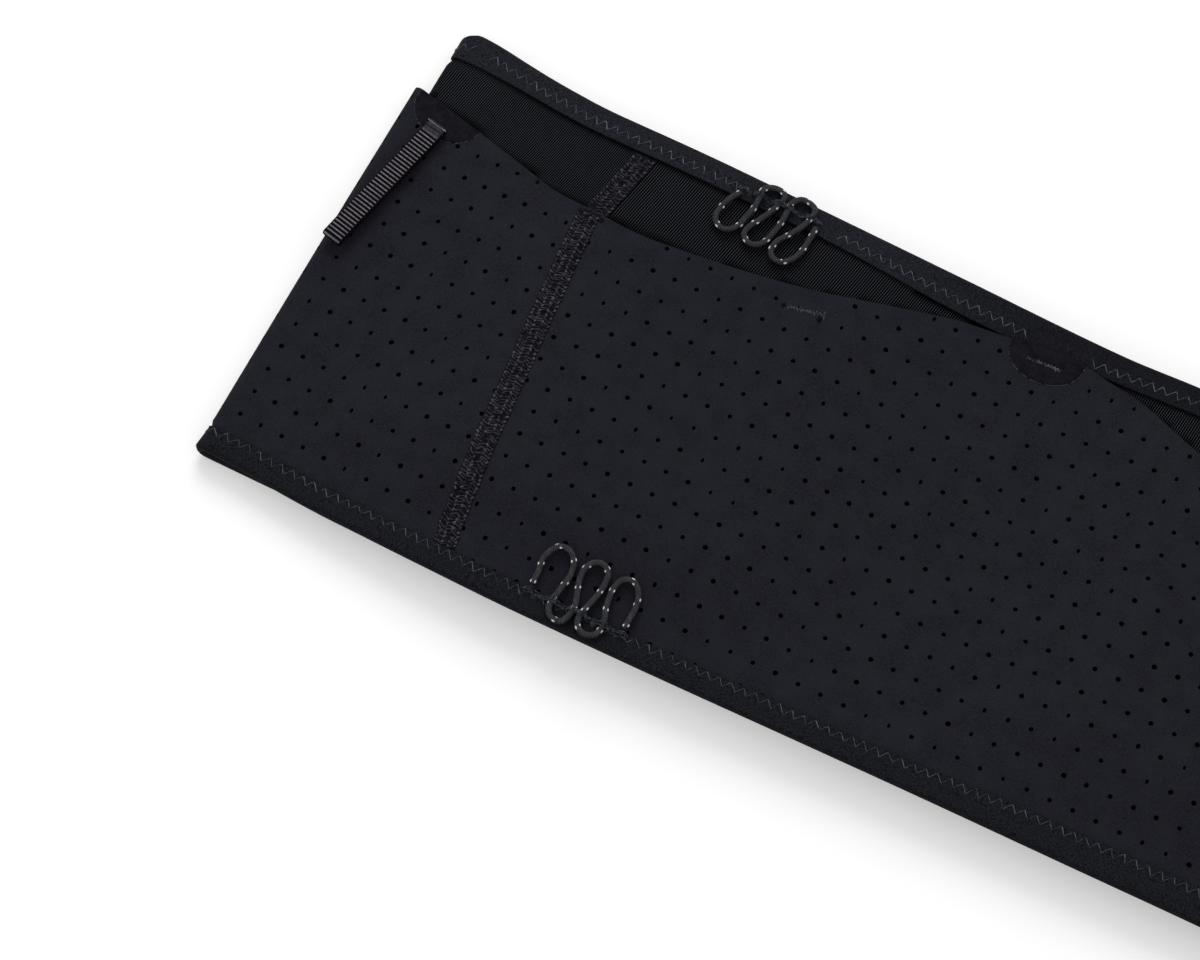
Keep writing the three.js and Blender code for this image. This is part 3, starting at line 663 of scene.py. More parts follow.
def stitch_mesh(starts, ends, radius):
    """Points and quads of stitches drawn flat, each from (u, y, height) to (u, y, height)."""
    starts, ends = np.asarray(starts, float), np.asarray(ends, float)
    radius = np.broadcast_to(radius, (len(starts),))
    along = ends - starts
    flat = along[:, :2] / np.maximum(np.linalg.norm(along[:, :2], axis=1), TINY)[:, None]
    side = np.stack([-flat[:, 1], flat[:, 0], np.zeros(len(flat))], -1)
    up = np.array([0, 0, 1.0])
    t = STITCH_SHARES
    centre = starts[:, None] + along[:, None] * t[None, :, None]
    centre[..., 2] += STITCH_RISE_SHARES[None] * radius[:, None] * STITCH_LIFT
    angle = round_angles(THREAD_SIDES)
    taper = np.where((t == 0) | (t == 1), STITCH_END_SHARE, 1.0)
    ring = radius[:, None, None] * taper[None, :, None]
    points = centre[:, :, None] + side[:, None, None] * (ring * np.cos(angle))[..., None]
    points = points + up * (ring * np.sin(angle))[..., None]
    firsts = np.arange(len(starts)) * len(t) * THREAD_SIDES
    quads = tube_faces(len(t), THREAD_SIDES)[None] + firsts[:, None, None]
    return points.reshape(-1, 3), quads.reshape(-1, 4)


def tube_faces(rings, sides):
    """Quads of a tube's wall and its two ends, for an even number of sides."""
    i, k = np.meshgrid(np.arange(rings - 1), np.arange(sides), indexing="ij")
    n = (k + 1) % sides
    wall = np.stack([i * sides + k, i * sides + n, (i + 1) * sides + n, (i + 1) * sides + k], -1)
    fan = [(0, m, m + 1, m + 2) for m in range(1, sides - 2, 2)]
    start = np.array(fan)[:, ::-1]
    end = np.array(fan) + (rings - 1) * sides
    return np.concatenate([wall.reshape(-1, 4), start, end])


def add_stitches(name, slot, sets, surface, nodes=(), material=None):
    """One piece of many stitches, laid on a surface that maps (u, y, height) to the row frame."""
    points, quads, count = [], [], 0
    for starts, ends, radius in sets:
        some, faces = stitch_mesh(starts, ends, radius)
        points.append(some)
        quads.append(faces + count)
        count += len(some)
    flat = np.concatenate(points)
    placed = surface(flat[:, 0], flat[:, 1], flat[:, 2])
    placed[:, 2] = np.maximum(placed[:, 2], 0)
    piece = add_piece(name, slot, placed, np.concatenate(quads), material=material)
    dress(piece, nodes)


# Faces that details are laid on
def on_panel(u, y, height):
    return on_tube(u, y, PANEL_TOP + height, lifted=True)


def on_lining(u, y, height):
    return on_tube(u, y, LINING + height, inner=True)


def on_rear(x, y, height):
    """The rear panel is drawn by its own place along the belt."""
    return np.stack(np.broadcast_arrays(x, y, REAR_BASE - PANEL_TOP - height), -1)


def top_stack(u):
    """Layers that the top binding holds: the rear panel joins them behind the rear seams."""
    past = eased((REAR_SEAM_X + STACK_RUN - np.abs(x_of(u))) / (STACK_RUN - SEAM_WIDTH))
    return TOP_STACK + np.where(place_of(u) > 2, past, 0) * (PANEL + GAP)


def on_top_binding(u, y, height):
    return on_tube(u, y, top_stack(u) + ELASTIC + height, inner=True)


def on_bottom_binding(u, y, height):
    return on_tube(u, y, BOTTOM_STACK + ELASTIC + height)


# Cords
SHEATH_RADIUS = 0.00092
BRAID_STRANDS = 14
BRAID_LAY = 0.0058
BRAID_DEPTH = 0.0001
BRAID_STEP = 0.00012
BRAID_SIDES = 48
FLECK_PITCH = 0.0061
FLECK_LENGTH = 0.00075
FLECK_WIDTH = 0.0005
# Rows of light flecks: where on the turn, and how far along the first one lies
FLECK_ROWS = ((0.12, 0.0), (0.38, 0.0006), (0.62, 0.0029), (0.88, 0.0035))
FLECK_SWAY_ALONG = 0.12
FLECK_SWAY_ROUND = 0.03
FLECK_REACH = 1.25
FLECK_BLUR = 0.5
STRAND_TONES = (0.85, 0.02)
STRAND_SWAY = (0.7, 1.15)
CROWN_POWER = 2.2
END_TAPER = 0.05
# Painted shade round the cord: share of tone its underside keeps, and where the painted light starts on
# its sides
UNDERSIDE_SHADE = 0.08
SIDE_LIGHT = 0.1
# Points that a cord's line runs through, along the belt and across it from where it is sewn on
TOP_CORD_ROUTE = [
    (-0.0118, -0.0006), (-0.0136, -0.0035), (-0.0149, -0.0073), (-0.0147, -0.0102),
    (-0.0126, -0.012), (-0.0101, -0.0116), (-0.0083, -0.0092), (-0.0077, -0.0069),
    (-0.0069, -0.0036), (-0.0068, -0.0002), (-0.007, 0.0026), (-0.0055, 0.004),
    (-0.003, 0.0044), (-0.001, 0.0034), (-0.0018, -0.0007), (-0.0038, -0.005),
    (-0.0056, -0.0083), (-0.0059, -0.011), (-0.0039, -0.0127), (-0.0015, -0.0122),
    (0, -0.0102), (0.0008, -0.007), (0.0014, -0.0041), (0.0015, -0.0007),
    (0.0015, 0.0024), (0.0032, 0.0045), (0.0056, 0.0046), (0.0078, 0.0034),
    (0.0078, 0.0002), (0.0067, -0.0028), (0.0045, -0.0062), (0.0028, -0.0088),
    (0.0024, -0.0116), (0.0037, -0.0136), (0.0063, -0.0139), (0.0085, -0.0118),
    (0.0096, -0.0093), (0.0101, -0.0054), (0.0103, -0.0006),
]
BOTTOM_CORD_ROUTE = [
    (-0.0133, 0.0006), (-0.0134, 0.0043), (-0.0139, 0.0082), (-0.013, 0.0108),
    (-0.0112, 0.0127), (-0.0087, 0.0127), (-0.0063, 0.0104), (-0.0057, 0.0068),
    (-0.0062, 0.0027), (-0.0067, -0.0013), (-0.0062, -0.0039), (-0.0044, -0.0052),
    (-0.0021, -0.0049), (-0.0011, -0.0029), (-0.0009, 0.0005), (-0.0019, 0.0038),
    (-0.0028, 0.0064), (-0.0032, 0.0097), (-0.0023, 0.012), (0, 0.0133),
    (0.0026, 0.0121), (0.0033, 0.0091), (0.0028, 0.0051), (0.0019, 0.0008),
    (0.0015, -0.0023), (0.0027, -0.0046), (0.0051, -0.0053), (0.0073, -0.004),
    (0.0078, -0.0006), (0.0066, 0.003), (0.0059, 0.0066), (0.0059, 0.0096),
    (0.0071, 0.012), (0.0097, 0.0126), (0.0121, 0.0106), (0.0131, 0.0069),
    (0.0131, 0.0032), (0.0131, 0.0006),
]


def smooth_line(points, per_span=16):
    """Centripetal curve through points."""
    first, last = 2 * points[0] - points[1], 2 * points[-1] - points[-2]
    p = np.concatenate([[first], points, [last]])
    made = []
    for i in range(len(points) - 1):
        a, b, c, d = p[i:i + 4]
        ab, bc, cd = (max(np.linalg.norm(w), TINY) ** 0.5 for w in (b - a, c - b, d - c))
        leave = ((b - a) / ab - (c - a) / (ab + bc) + (c - b) / bc) * bc
        arrive = ((c - b) / bc - (d - b) / (bc + cd) + (d - c) / cd) * bc
        t = (np.arange(per_span) / per_span)[:, None]
        h = (2 * t**3 - 3 * t**2 + 1) * b + (t**3 - 2 * t**2 + t) * leave
        made.append(h + (3 * t**2 - 2 * t**3) * c + (t**3 - t**2) * arrive)
    return np.concatenate([*made, [points[-1]]])


def evenly(points, step):
    """Points at even steps along a line, and how far along each lies."""
    runs = np.concatenate([[0], np.cumsum(np.linalg.norm(np.diff(points, axis=0), axis=1))])
    at = np.linspace(0, runs[-1], max(int(round(runs[-1] / step)), 1) + 1)
    return np.stack([np.interp(at, runs, points[:, k]) for k in range(3)], -1), at


def frames_along(centre):
    """Tangent, side and up of each point of a line that lies nearly flat."""
    tangent = np.gradient(centre, axis=0)
    tangent /= np.linalg.norm(tangent, axis=1)[:, None]
    side = np.cross([0, 0, 1.0], tangent)
    side /= np.linalg.norm(side, axis=1)[:, None]
    return tangent, side, np.cross(tangent, side)


def flecks(s, k):
    """Share of light yarn at a place s along the sheath and k round it."""
    made = np.zeros(s.shape)
    count = int(s.max() / FLECK_PITCH) + 2
    for turn, first in FLECK_ROWS:
        sway = rng.uniform(-FLECK_SWAY_ALONG, FLECK_SWAY_ALONG, count)
        at = first + FLECK_PITCH * (np.arange(count) + sway)
        shift = turn + rng.uniform(-FLECK_SWAY_ROUND, FLECK_SWAY_ROUND, count)
        near = np.abs(s[:, :1] - at).argmin(1)
        along = (s - at[near][:, None]) / (FLECK_LENGTH / 2)
        round_ = ((k - shift[near][:, None] + 0.5) % 1 - 0.5) * 2 * math.pi * SHEATH_RADIUS
        distance = np.hypot(along, round_ / (FLECK_WIDTH / 2))
        made = np.maximum(made, np.clip((FLECK_REACH - distance) / FLECK_BLUR, 0, 1))
    return made


def braided_tube(centre, along):
    """Points and tones of a braided cord: two sets of strands that cross over and under."""
    _, side, up = frames_along(centre)
    turn = np.arange(BRAID_SIDES) / BRAID_SIDES
    s, k = np.meshgrid(along, turn, indexing="ij")
    a = BRAID_STRANDS * (k + s / BRAID_LAY)
    b = BRAID_STRANDS * (k - s / BRAID_LAY)
    over = (np.floor(a) + np.floor(b)) % 2 == 0
    across = np.where(over, a, b) % 1 - 0.5
    crown = 1 - (2 * across) ** 2
    ends = np.minimum(along, along[-1] - along)
    taper = np.sqrt(np.clip(ends / (SHEATH_RADIUS / 2), END_TAPER, 1))
    light = flecks(s, k)
    radius = (SHEATH_RADIUS - BRAID_DEPTH * (1 - np.maximum(crown, light))) * taper[:, None]
    angle = 2 * math.pi * k
    points = centre[:, None] + side[:, None] * (radius * np.cos(angle))[..., None]
    points = points + up[:, None] * (radius * np.sin(angle))[..., None]
    shade = np.repeat(STRAND_TONES, BRAID_STRANDS) * rng.uniform(*STRAND_SWAY, 2 * BRAID_STRANDS)
    strand = np.where(over, np.floor(a) % BRAID_STRANDS, np.floor(b) % BRAID_STRANDS + BRAID_STRANDS)
    # Painted light and shade: lit on top, shaded on the sides and underside, and each strand falls to
    # shade at its edges
    painted_top_light = eased(SIDE_LIGHT + (1 - SIDE_LIGHT) * np.sin(angle))
    lit = UNDERSIDE_SHADE + (1 - UNDERSIDE_SHADE) * painted_top_light
    tone = crown**CROWN_POWER * shade[strand.astype(int)] * lit
    tones = np.stack([tone, light, np.zeros_like(crown), np.ones_like(crown)], -1)
    return points.reshape(-1, 3), tones.reshape(-1, 4)


class CordPlace:
    """Where one cord is sewn on, with its line in the row frame."""

    def __init__(self, hand, route, share, edge, inset, inwards, stack, sheet_top):
        self.inwards = inwards
        self.x = x_at(share) if hand < 0 else x_at(1 - share)
        self.y = float(edge(self.x)) + inwards * inset
        on_binding = stack + ELASTIC
        self.face = float(front_base(self.x)) + on_binding
        laid = route if hand < 0 else [(-x, y) for x, y in reversed(route)]
        points = []
        for along, across in laid:
            past = eased((across * inwards - CORD_FALL_START) / CORD_FALL_RUN)
            sheet = sheet_top(self.x + along, self.y + across) + CORD_FLOAT
            height = self.face + GAP + CORD_DIAMETER / 2 + past * (sheet - on_binding)
            points.append((self.x + along, self.y + across, height))
        self.line, self.along = evenly(smooth_line(np.array(points)), BRAID_STEP)
        self.first, self.last = laid[0][0], laid[-1][0]


def add_cord(name, hand, **facts):
    place = CordPlace(hand, **facts)
    points, tones = braided_tube(place.line, place.along)
    faces = tube_faces(len(place.line), BRAID_SIDES)
    cord = add_piece(f"{name}_elastic_cord", "elastic_cord", points, faces, attribute=tones)
    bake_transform(cord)
    loops = [f"{name}_cord_loop_{i}" for i in (1, 2, 3)]
    bends = [f"{name}_cord_bend_{i}" for i in (1, 2)]
    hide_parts(*loops, *bends)
    tuple(place.line[0])
    return place


def cord_places():
    made = {}
    for side_name, hand in (("left", -1), ("right", 1)):
        made[f"{side_name}_top"] = add_cord(
            f"{side_name}_top", hand, route=TOP_CORD_ROUTE, share=TOP_CORD_SHARE, edge=top_edge,
            inset=TOP_CORD_INSET, inwards=-1, stack=TOP_STACK, sheet_top=lambda x, y: LINING)
        made[f"{side_name}_bottom"] = add_cord(
            f"{side_name}_bottom", hand, route=BOTTOM_CORD_ROUTE, share=BOTTOM_CORD_SHARE,
            edge=front_bottom_edge, inset=BOTTOM_CORD_INSET, inwards=1, stack=BOTTOM_STACK,
            sheet_top=lambda x, y: PANEL_TOP + float(outer_lift(x, y)))
    return made


cords = cord_places()

# Perforated sheets, triangulated between their outline and their holes
HOLE_RADIUS = 0.0007
HOLE_SIDES = 14
HOLE_MARGIN = 0.0009
HOLE_SWAY_SHARE = 0.15
HOLE_SIZE_SWAY = (0.86, 1.06)
# Some holes are pulled narrow
NARROW_SHARE = 0.25
NARROW_SWAY = (0.6, 0.8)
# Lattices of holes: the first hole, the step along the belt and the step across it
FRONT_HOLES = ((-0.06098, -0.0075), (0.006326, 0.00009), (0.000413, 0.00708))
SIDE_HOLES = ((0.17452, -0.01282), (0.006286, 0.000328), (-0.000046, 0.007258))
LATTICE_REACH = 34
LATTICE_ROWS = 12
# The triangulation works in millimetres
MILLIMETRES = 1000
TRIANGLE_TOLERANCE = 1e-5


def lattice(start, along, across, halves=False):
    """Holes of an even lattice, or with halves the points midway between them."""
    columns = np.arange(-LATTICE_REACH, LATTICE_REACH + 1)
    rows = np.arange(-LATTICE_ROWS, LATTICE_ROWS + 1)
    i, j = np.meshgrid(columns, rows, indexing="ij")
    steps = np.stack([i.ravel(), j.ravel()], -1).astype(float)
    if halves:
        steps = np.concatenate([steps + (0.5, 0), steps + (0, 0.5), steps + (0.5, 0.5)])
    return np.array(start) + steps[:, :1] * np.array(along) + steps[:, 1:] * np.array(across)


def inside(points, outline):
    """Which points lie inside a closed outline."""
    x, y = points[:, 0][:, None], points[:, 1][:, None]
    ax, ay = outline[:, 0], outline[:, 1]
    bx, by = np.roll(ax, -1), np.roll(ay, -1)
    crosses = (ay > y) != (by > y)
    with np.errstate(divide="ignore", invalid="ignore"):
        at = ax + (y - ay) * (bx - ax) / (by - ay)
    return (crosses & (x < at)).sum(1) % 2 == 1


def clear_of(points, outline, margin):
    """Which points lie at least margin from an outline."""
    a = outline
    b = np.roll(outline, -1, axis=0)
    run = b - a
    t = np.clip(((points[:, None] - a) * run).sum(-1) / (run**2).sum(-1), 0, 1)
    near = a + t[..., None] * run
    return np.linalg.norm(points[:, None] - near, axis=-1).min(1) > margin


def punched_triangles(outline, rings, extra):
    """Points and triangles between an outline and the rings of the holes in it."""
    flat = np.concatenate([outline, rings.reshape(-1, 2), extra])
    count = len(outline)
    owner = np.full(len(flat), -1)
    owner[count:count + len(rings) * HOLE_SIDES] = np.repeat(np.arange(len(rings)), HOLE_SIDES)
    edges = [(i, (i + 1) % count) for i in range(count)]
    for k in range(len(rings)):
        first = count + k * HOLE_SIDES
        edges += [(first + m, first + (m + 1) % HOLE_SIDES) for m in range(HOLE_SIDES)]
    scaled = [Vector(p) for p in (flat * MILLIMETRES).tolist()]
    made = delaunay_2d_cdt(scaled, edges, [], 0, TRIANGLE_TOLERANCE, True)
    tris = np.array([f for f in made[2] if len(f) == 3])
    source = np.array([ids[0] for ids in made[3]])
    kept = np.array([v[:] for v in made[0]]) / MILLIMETRES
    who = owner[source]
    first = who[tris[:, 0]]
    in_hole = (first >= 0) & (who[tris] == first[:, None]).all(1)
    on_outline = (source[tris] < count).all(1)
    outside = np.zeros(len(tris), bool)
    outside[on_outline] = ~inside(kept[tris[on_outline]].mean(1), outline)
    return kept, tris[~in_hole & ~outside]


def border_walls(tris, total):
    """Quads between the borders of two equal faces, whose second points come total later."""
    sides = np.concatenate([tris[:, [0, 1]], tris[:, [1, 2]], tris[:, [2, 0]]])
    keys = np.sort(sides, axis=1)
    keys = keys[:, 0] * total + keys[:, 1]
    _, where, often = np.unique(keys, return_index=True, return_counts=True)
    border = sides[where[often == 1]]
    return np.stack([border[:, 0], border[:, 0] + total, border[:, 1] + total, border[:, 1]], -1)


def perforated_sheet(name, node, outline, lattice_of, surface, mirror=1, more=()):
    """A closed sheet with round holes; surface maps (u, y, height) to the row frame."""
    holes = lattice(*lattice_of) * (mirror, 1)
    extra = lattice(*lattice_of, halves=True) * (mirror, 1)
    extra = np.concatenate([extra, np.reshape(more, (-1, 2))])
    holes = holes[inside(holes, outline)]
    holes = holes[clear_of(holes, outline, HOLE_MARGIN)]
    extra = extra[inside(extra, outline)]
    extra = extra[clear_of(extra, outline, HOLE_RADIUS)]
    gap = np.linalg.norm(extra[:, None] - holes, axis=-1).min(1)
    extra = extra[gap > 2 * HOLE_RADIUS]
    count = len(holes)
    holes = holes + rng.uniform(-HOLE_SWAY_SHARE, HOLE_SWAY_SHARE, holes.shape) * HOLE_RADIUS
    radii = HOLE_RADIUS * rng.uniform(*HOLE_SIZE_SWAY, count)
    pulled = rng.uniform(size=count) < NARROW_SHARE
    narrow = np.where(pulled, rng.uniform(*NARROW_SWAY, count), 1.0)
    angle = round_angles(HOLE_SIDES)
    ring = np.stack(np.broadcast_arrays(narrow[:, None] * np.cos(angle), np.sin(angle)), -1)
    rings = holes[:, None] + radii[:, None, None] * ring
    kept, tris = punched_triangles(outline, rings, extra)
    total = len(kept)
    points = two_faces(surface, kept[:, 0], kept[:, 1], 0.0, -PANEL)
    faces = np.concatenate([tris, tris[:, ::-1] + total])
    uv = np.concatenate([kept, kept])
    piece = add_piece(name, "perforated_fabric", points, border_walls(tris, total), faces, uv=uv)
    dress(piece, [node])
    return piece


OUTLINE_STEP = 0.0022
FOLD_STEP = 0.0007
FOLD_MARGIN = 0.003
REAR_END_POINTS = 50


def spread(start, end, step=OUTLINE_STEP):
    return np.linspace(start, end, max(int(round(abs(end - start) / step)), 1) + 1)


def front_panel_outline():
    low, high = low_end(seam_x(BOTTOM_Y)), rim(seam_x(0))
    ys = spread(low, high)
    right = np.stack([seam_x(ys) - GAP / 2, ys], -1)
    xs = spread(right[-1, 0], -right[-1, 0])
    top = np.stack([xs, rim(xs)], -1)
    left = right[::-1] * (-1, 1)
    xs = spread(left[-1, 0], -left[-1, 0])
    bottom = np.stack([xs, low_end(xs)], -1)
    return np.concatenate([right[1:-1], top, left[1:-1], bottom])


def side_panel_outline(hand):
    """Outline of a side panel, from its front seam round the fold to its rear seam."""
    rear = REAR_MIDDLE - REAR_SEAM_X - GAP / 2
    start = float(seam_x(0.0))
    top_y, low_y = float(rim(hand * start)), float(low_end(hand * start))
    ys = spread(low_y, top_y)
    seam = np.stack([seam_x(ys) + GAP / 2, ys], -1)
    knots = [seam[-1, 0], REACH, REACH + WRAP_RUN, rear]
    steps = [OUTLINE_STEP, FOLD_STEP, OUTLINE_STEP]
    us = np.concatenate([spread(a, b, s)[:-1] for a, b, s in zip(knots, knots[1:], steps)] + [[rear]])
    top = np.stack([us, side_rim(hand * us)], -1)
    low_us = us.copy()
    low_us[0] = seam[0, 0]
    low_us = low_us[(low_us > seam[0, 0]) | (np.arange(len(us)) == 0)]
    bottom = np.stack([low_us, low_end(hand * low_us)], -1)
    ys = np.linspace(top[-1, 1], bottom[-1, 1], REAR_END_POINTS)
    back = np.stack([np.full(REAR_END_POINTS, rear), ys], -1)
    loop = np.concatenate([seam[1:-1], top, back[1:-1], bottom[::-1]])
    return loop * (hand, 1)


def fold_points(hand):
    """Points inside a side panel, close enough together for its fold to come out round."""
    us = spread(REACH - FOLD_MARGIN, REACH + WRAP_RUN + FOLD_MARGIN, FOLD_STEP)
    ys = spread(BOTTOM_Y, -BOTTOM_Y, 2 * FOLD_STEP)
    u, y = np.meshgrid(us, ys)
    return np.stack([hand * u.ravel(), y.ravel()], -1)


def rear_panel_outline():
    half = REAR_SEAM_X - GAP / 2
    xs = spread(-half, half)
    ys = spread(float(low_end(REAR_MIDDLE - half)), float(high_end(REAR_MIDDLE - half)))[1:-1]
    return np.concatenate([
        np.stack([xs, bottom_edge(xs) + CAUGHT], -1),
        np.stack([np.full(len(ys), half), ys], -1),
        np.stack([xs[::-1], top_edge(xs[::-1]) - CAUGHT], -1),
        np.stack([np.full(len(ys), -half), ys[::-1]], -1),
    ])


def add_panels():
    made = {}
    made["front"] = perforated_sheet(
        "front_panel_fabric", "front_panel", front_panel_outline(), FRONT_HOLES, on_panel)
    for side_name, hand in (("left", -1), ("right", 1)):
        made[side_name] = perforated_sheet(
            f"{side_name}_side_fabric", f"{side_name}_side_panel", side_panel_outline(hand),
            SIDE_HOLES, on_panel, hand, fold_points(hand))
    made["rear"] = perforated_sheet(
        "rear_panel_fabric", "rear_panel", rear_panel_outline(), FRONT_HOLES, on_rear)
    return made


panels = add_panels()

# Ribbed mesh lining
RIB_DEPTH = 0.00014
RIB_COLUMNS = 4
LINING_ROWS = 56
FRONT_RIB_SKEW = 0.12
SIDE_RIB_SKEW = 0.06
# Shade of the raised rim: it reaches further where the rim stands higher
COVER_START = -0.0003
COVER_PER_LIFT = 0.58
COVER_RUN = 0.0006
# Shade under the lip of the top binding, wider right of the divider, where it stands off
LIP_SHADE = 0.00012
LIP_SHADE_RIGHT = 0.0007
LIP_SHADE_RUN = 0.012


def under_lip(u):
    x = x_of(u)
    right = np.where(place_of(u) <= 1, eased((x + LIP_SHADE_RUN) / LIP_SHADE_RUN), 0)
    return top_binding_lip(u) - LIP_SHADE - LIP_SHADE_RIGHT * right


def lining_sheet(name, node, edges, low, high, surface, skew=0.0, cover=None):
    """A ribbed sheet; edges gives its two ends at each y, cover the rim of what hides it, past which its
    colour is painted in shade.
    """
    rows = np.linspace(0, 1, LINING_ROWS)
    start, end = edges(0.0)
    columns = int(round((end - start) / RIB_PITCH * RIB_COLUMNS))
    across = np.linspace(0, 1, columns + 1)[:, None]
    u = (start + (end - start) * across) * np.ones(LINING_ROWS)
    y = low(u) + rows * (high(u) - low(u))
    left, right = edges(y)
    u = left + (right - left) * across + skew * np.sin(math.pi * across) * y
    y = low(u) + rows * (high(u) - low(u))
    turn = np.broadcast_to((np.arange(columns + 1) / RIB_COLUMNS)[:, None], y.shape)
    rib = RIB_DEPTH * (0.5 - 0.5 * np.sin(2 * math.pi * turn))
    points = two_faces(surface, u, y, rib - LINING, -rib)
    flat = np.stack([turn.ravel() * RIB_PITCH, y.ravel()], -1)
    unshaded = np.ones(y.shape)
    # Painted shade: dark past the covering rim and under the top binding's lip
    if cover is not None:
        edge = cover(u)
        reach = COVER_PER_LIFT * outer_lift(x_of(u), edge) + COVER_START
        unshaded = eased((y - edge - reach) / COVER_RUN)
        unshaded = unshaded * eased((under_lip(u) - y) / LIP_SHADE + 1)
    unshaded = unshaded.ravel()
    tones = np.repeat(np.concatenate([unshaded, unshaded])[:, None], 4, axis=1)
    faces = thin_faces(columns + 1, LINING_ROWS)
    uv = np.concatenate([flat, flat])
    piece = add_piece(name, "ribbed_mesh", points, faces, uv=uv, attribute=tones)
    dress(piece, [node])
    return piece


def add_linings():
    made = {}
    made["front"] = lining_sheet(
        "front_mesh_lining", "front_lining",
        lambda y: (GAP / 2 - seam_x(y), seam_x(y) - GAP / 2), low_end, high_end, on_lining,
        FRONT_RIB_SKEW, rim)
    rear = REAR_MIDDLE - REAR_SEAM_X - GAP / 2
    made["left"] = lining_sheet(
        "left_side_mesh_lining", "left_side_lining", lambda y: (-rear, -seam_x(y) - GAP / 2),
        low_end, high_end, on_lining, SIDE_RIB_SKEW, side_rim)
    made["right"] = lining_sheet(
        "right_side_mesh_lining", "right_side_lining", lambda y: (seam_x(y) + GAP / 2, rear),
        low_end, high_end, on_lining, -SIDE_RIB_SKEW, side_rim)
    half = REAR_SEAM_X - GAP / 2
    made["rear"] = lining_sheet(
        "rear_mesh_lining", "rear_lining", lambda y: (-half, half),
        lambda x: bottom_edge(x) + CAUGHT, lambda x: top_edge(x) - CAUGHT,
        lambda x, y, height: on_rear(x, y, height - PANEL_TOP + LINING))
    return made


linings = add_linings()

# Fold-over elastic
BINDING_STEP = 0.0011
NOSE_STEPS = 8
EDGE_ROUND = 0.00018
# Where a binding's flat part has its points, as shares of its width
BINDING_SHARES = (0.94, 0.85, 0.76, 0.68, 0.6, 0.5, 0.4, 0.3, 0.2)
ZIGZAG_PITCH = 0.00335
# The elastic sinks under its zigzag, and elsewhere wavers by half as much
PUCKER = 0.00009
PUCKER_REACH_SHARE = 0.16
PUCKER_WAVE = 0.4
WAVER_SHARE = 0.5
WAVER_TURNS = (310, 733)
WAVER_SHIFT = 1.3


def binding_places():
    """Places round the whole tube, with finer steps at the folds."""
    front = spread(0, REACH, BINDING_STEP)[:-1]
    fold = spread(REACH, REACH + WRAP_RUN, FOLD_STEP)[:-1]
    rear = spread(REACH + WRAP_RUN, REAR_MIDDLE, BINDING_STEP)
    half = np.concatenate([front, fold, rear])
    return np.concatenate([half, -half[1:-1][::-1]])


def binding_profile(width, half_height):
    """Outer line of the folded elastic: how far from the edge, and how far from its middle."""
    turn = np.linspace(math.pi / 2, -math.pi / 2, NOSE_STEPS + 1)
    nose = np.stack([BINDING_NOSE * (1 - np.cos(turn)), half_height * np.sin(turn)], -1)
    flat = np.array([1 - EDGE_ROUND / width, *BINDING_SHARES]) * width
    upper = np.stack([flat, np.full(len(flat), half_height)], -1)
    lip = np.array([[width, half_height - EDGE_ROUND]])
    lower = upper[::-1] * (1, -1)
    return np.concatenate([lip, upper, nose, lower, lip * (1, -1)])


def add_binding(name, node, edge, inwards, width, widths, stack, inner, stitch_inset, material=None):
    """A folded elastic; widths gives its width from the outer edge at each place."""
    u = binding_places()
    share = (widths(u) / width)[:, None]
    outer = stack(u) + ELASTIC
    under = np.full(u.shape, -BINDING_STACK)
    middle, half = (outer + under) / 2, (outer - under) / 2
    profile = binding_profile(width, 1.0)
    shape = np.sign(profile[:, 1]) * np.minimum(np.abs(profile[:, 1]), 1)
    faces = []
    for side in (0, 1):
        skin = (1 - side) * ELASTIC
        nose = np.clip(1 - profile[:, 0] / BINDING_NOSE, 0, 1)
        depth = np.where(profile[:, 0] < width - EDGE_ROUND, skin * nose, 0)
        y = edge(u)[:, None] + inwards * (profile[:, 0] * share + depth)
        offset = middle[:, None] + shape * (half[:, None] - skin)
        if side:
            near = np.exp(-((profile[:, 0] - stitch_inset) / (PUCKER_REACH_SHARE * width)) ** 2)
            wave = 1 - PUCKER_WAVE + PUCKER_WAVE * np.cos(4 * math.pi * u / ZIGZAG_PITCH)
            slow, fast = WAVER_TURNS
            waver = 0.5 + 0.25 * (np.sin(u * slow) + np.sin(u * fast + WAVER_SHIFT))
            sunk = near * wave[:, None] + (1 - near) * WAVER_SHARE * waver[:, None]
            offset = offset - np.where(profile[:, 1] > 0, PUCKER * sunk, 0)
        faces.append(on_tube(np.broadcast_to(u[:, None], y.shape), y, offset, inner=inner))
    points = np.concatenate([f.reshape(-1, 3) for f in faces])
    quads = thin_faces(len(u), len(profile), wraps=True)
    piece = add_piece(name, "fold_over_elastic", points, quads, material=material)
    dress(piece, [node])


TOP_STITCH_INSET = 0.0048
TOP_STITCH_SHARES = [
    (0, 0.0045), (0.25, 0.0049), (0.31, 0.0052), (0.36, 0.0062), (0.43, 0.0065), (0.475, 0.006),
    (0.5, 0.0054), (0.53, 0.005), (0.57, 0.0045), (1, 0.0045),
]
BOTTOM_STITCH_INSET = 0.0055
BOTTOM_STITCH_SHARES = [
    (0, 0.0055), (0.45, 0.0055), (0.5, 0.006), (0.55, 0.0069), (0.6, 0.0072), (0.7, 0.0073),
    (0.8, 0.0062), (0.9, 0.0055), (1, 0.0055),
]
ZIGZAG_REACH = 0.00108
ZIGZAG_RADIUS = 0.00015
ZIGZAG_SWAY_SHARE = 0.08
ZIGZAG_REACH_SWAY = (0.85, 1.15)
ZIGZAG_RADIUS_SWAY = (0.5, 1.0)
ZIGZAG_SINK_SHARE = 0.6
# Parts of the front where the top binding shows no zigzag
ZIGZAG_GAPS = ((-0.2016, -0.1968), (-0.1135, -0.086), (-0.029, -0.0115))


def bottom_stitch_inset(u):
    front = follow(BOTTOM_STITCH_SHARES, share_along(x_of(u)))
    return np.where(place_of(u) <= 1, front, BOTTOM_STITCH_INSET)


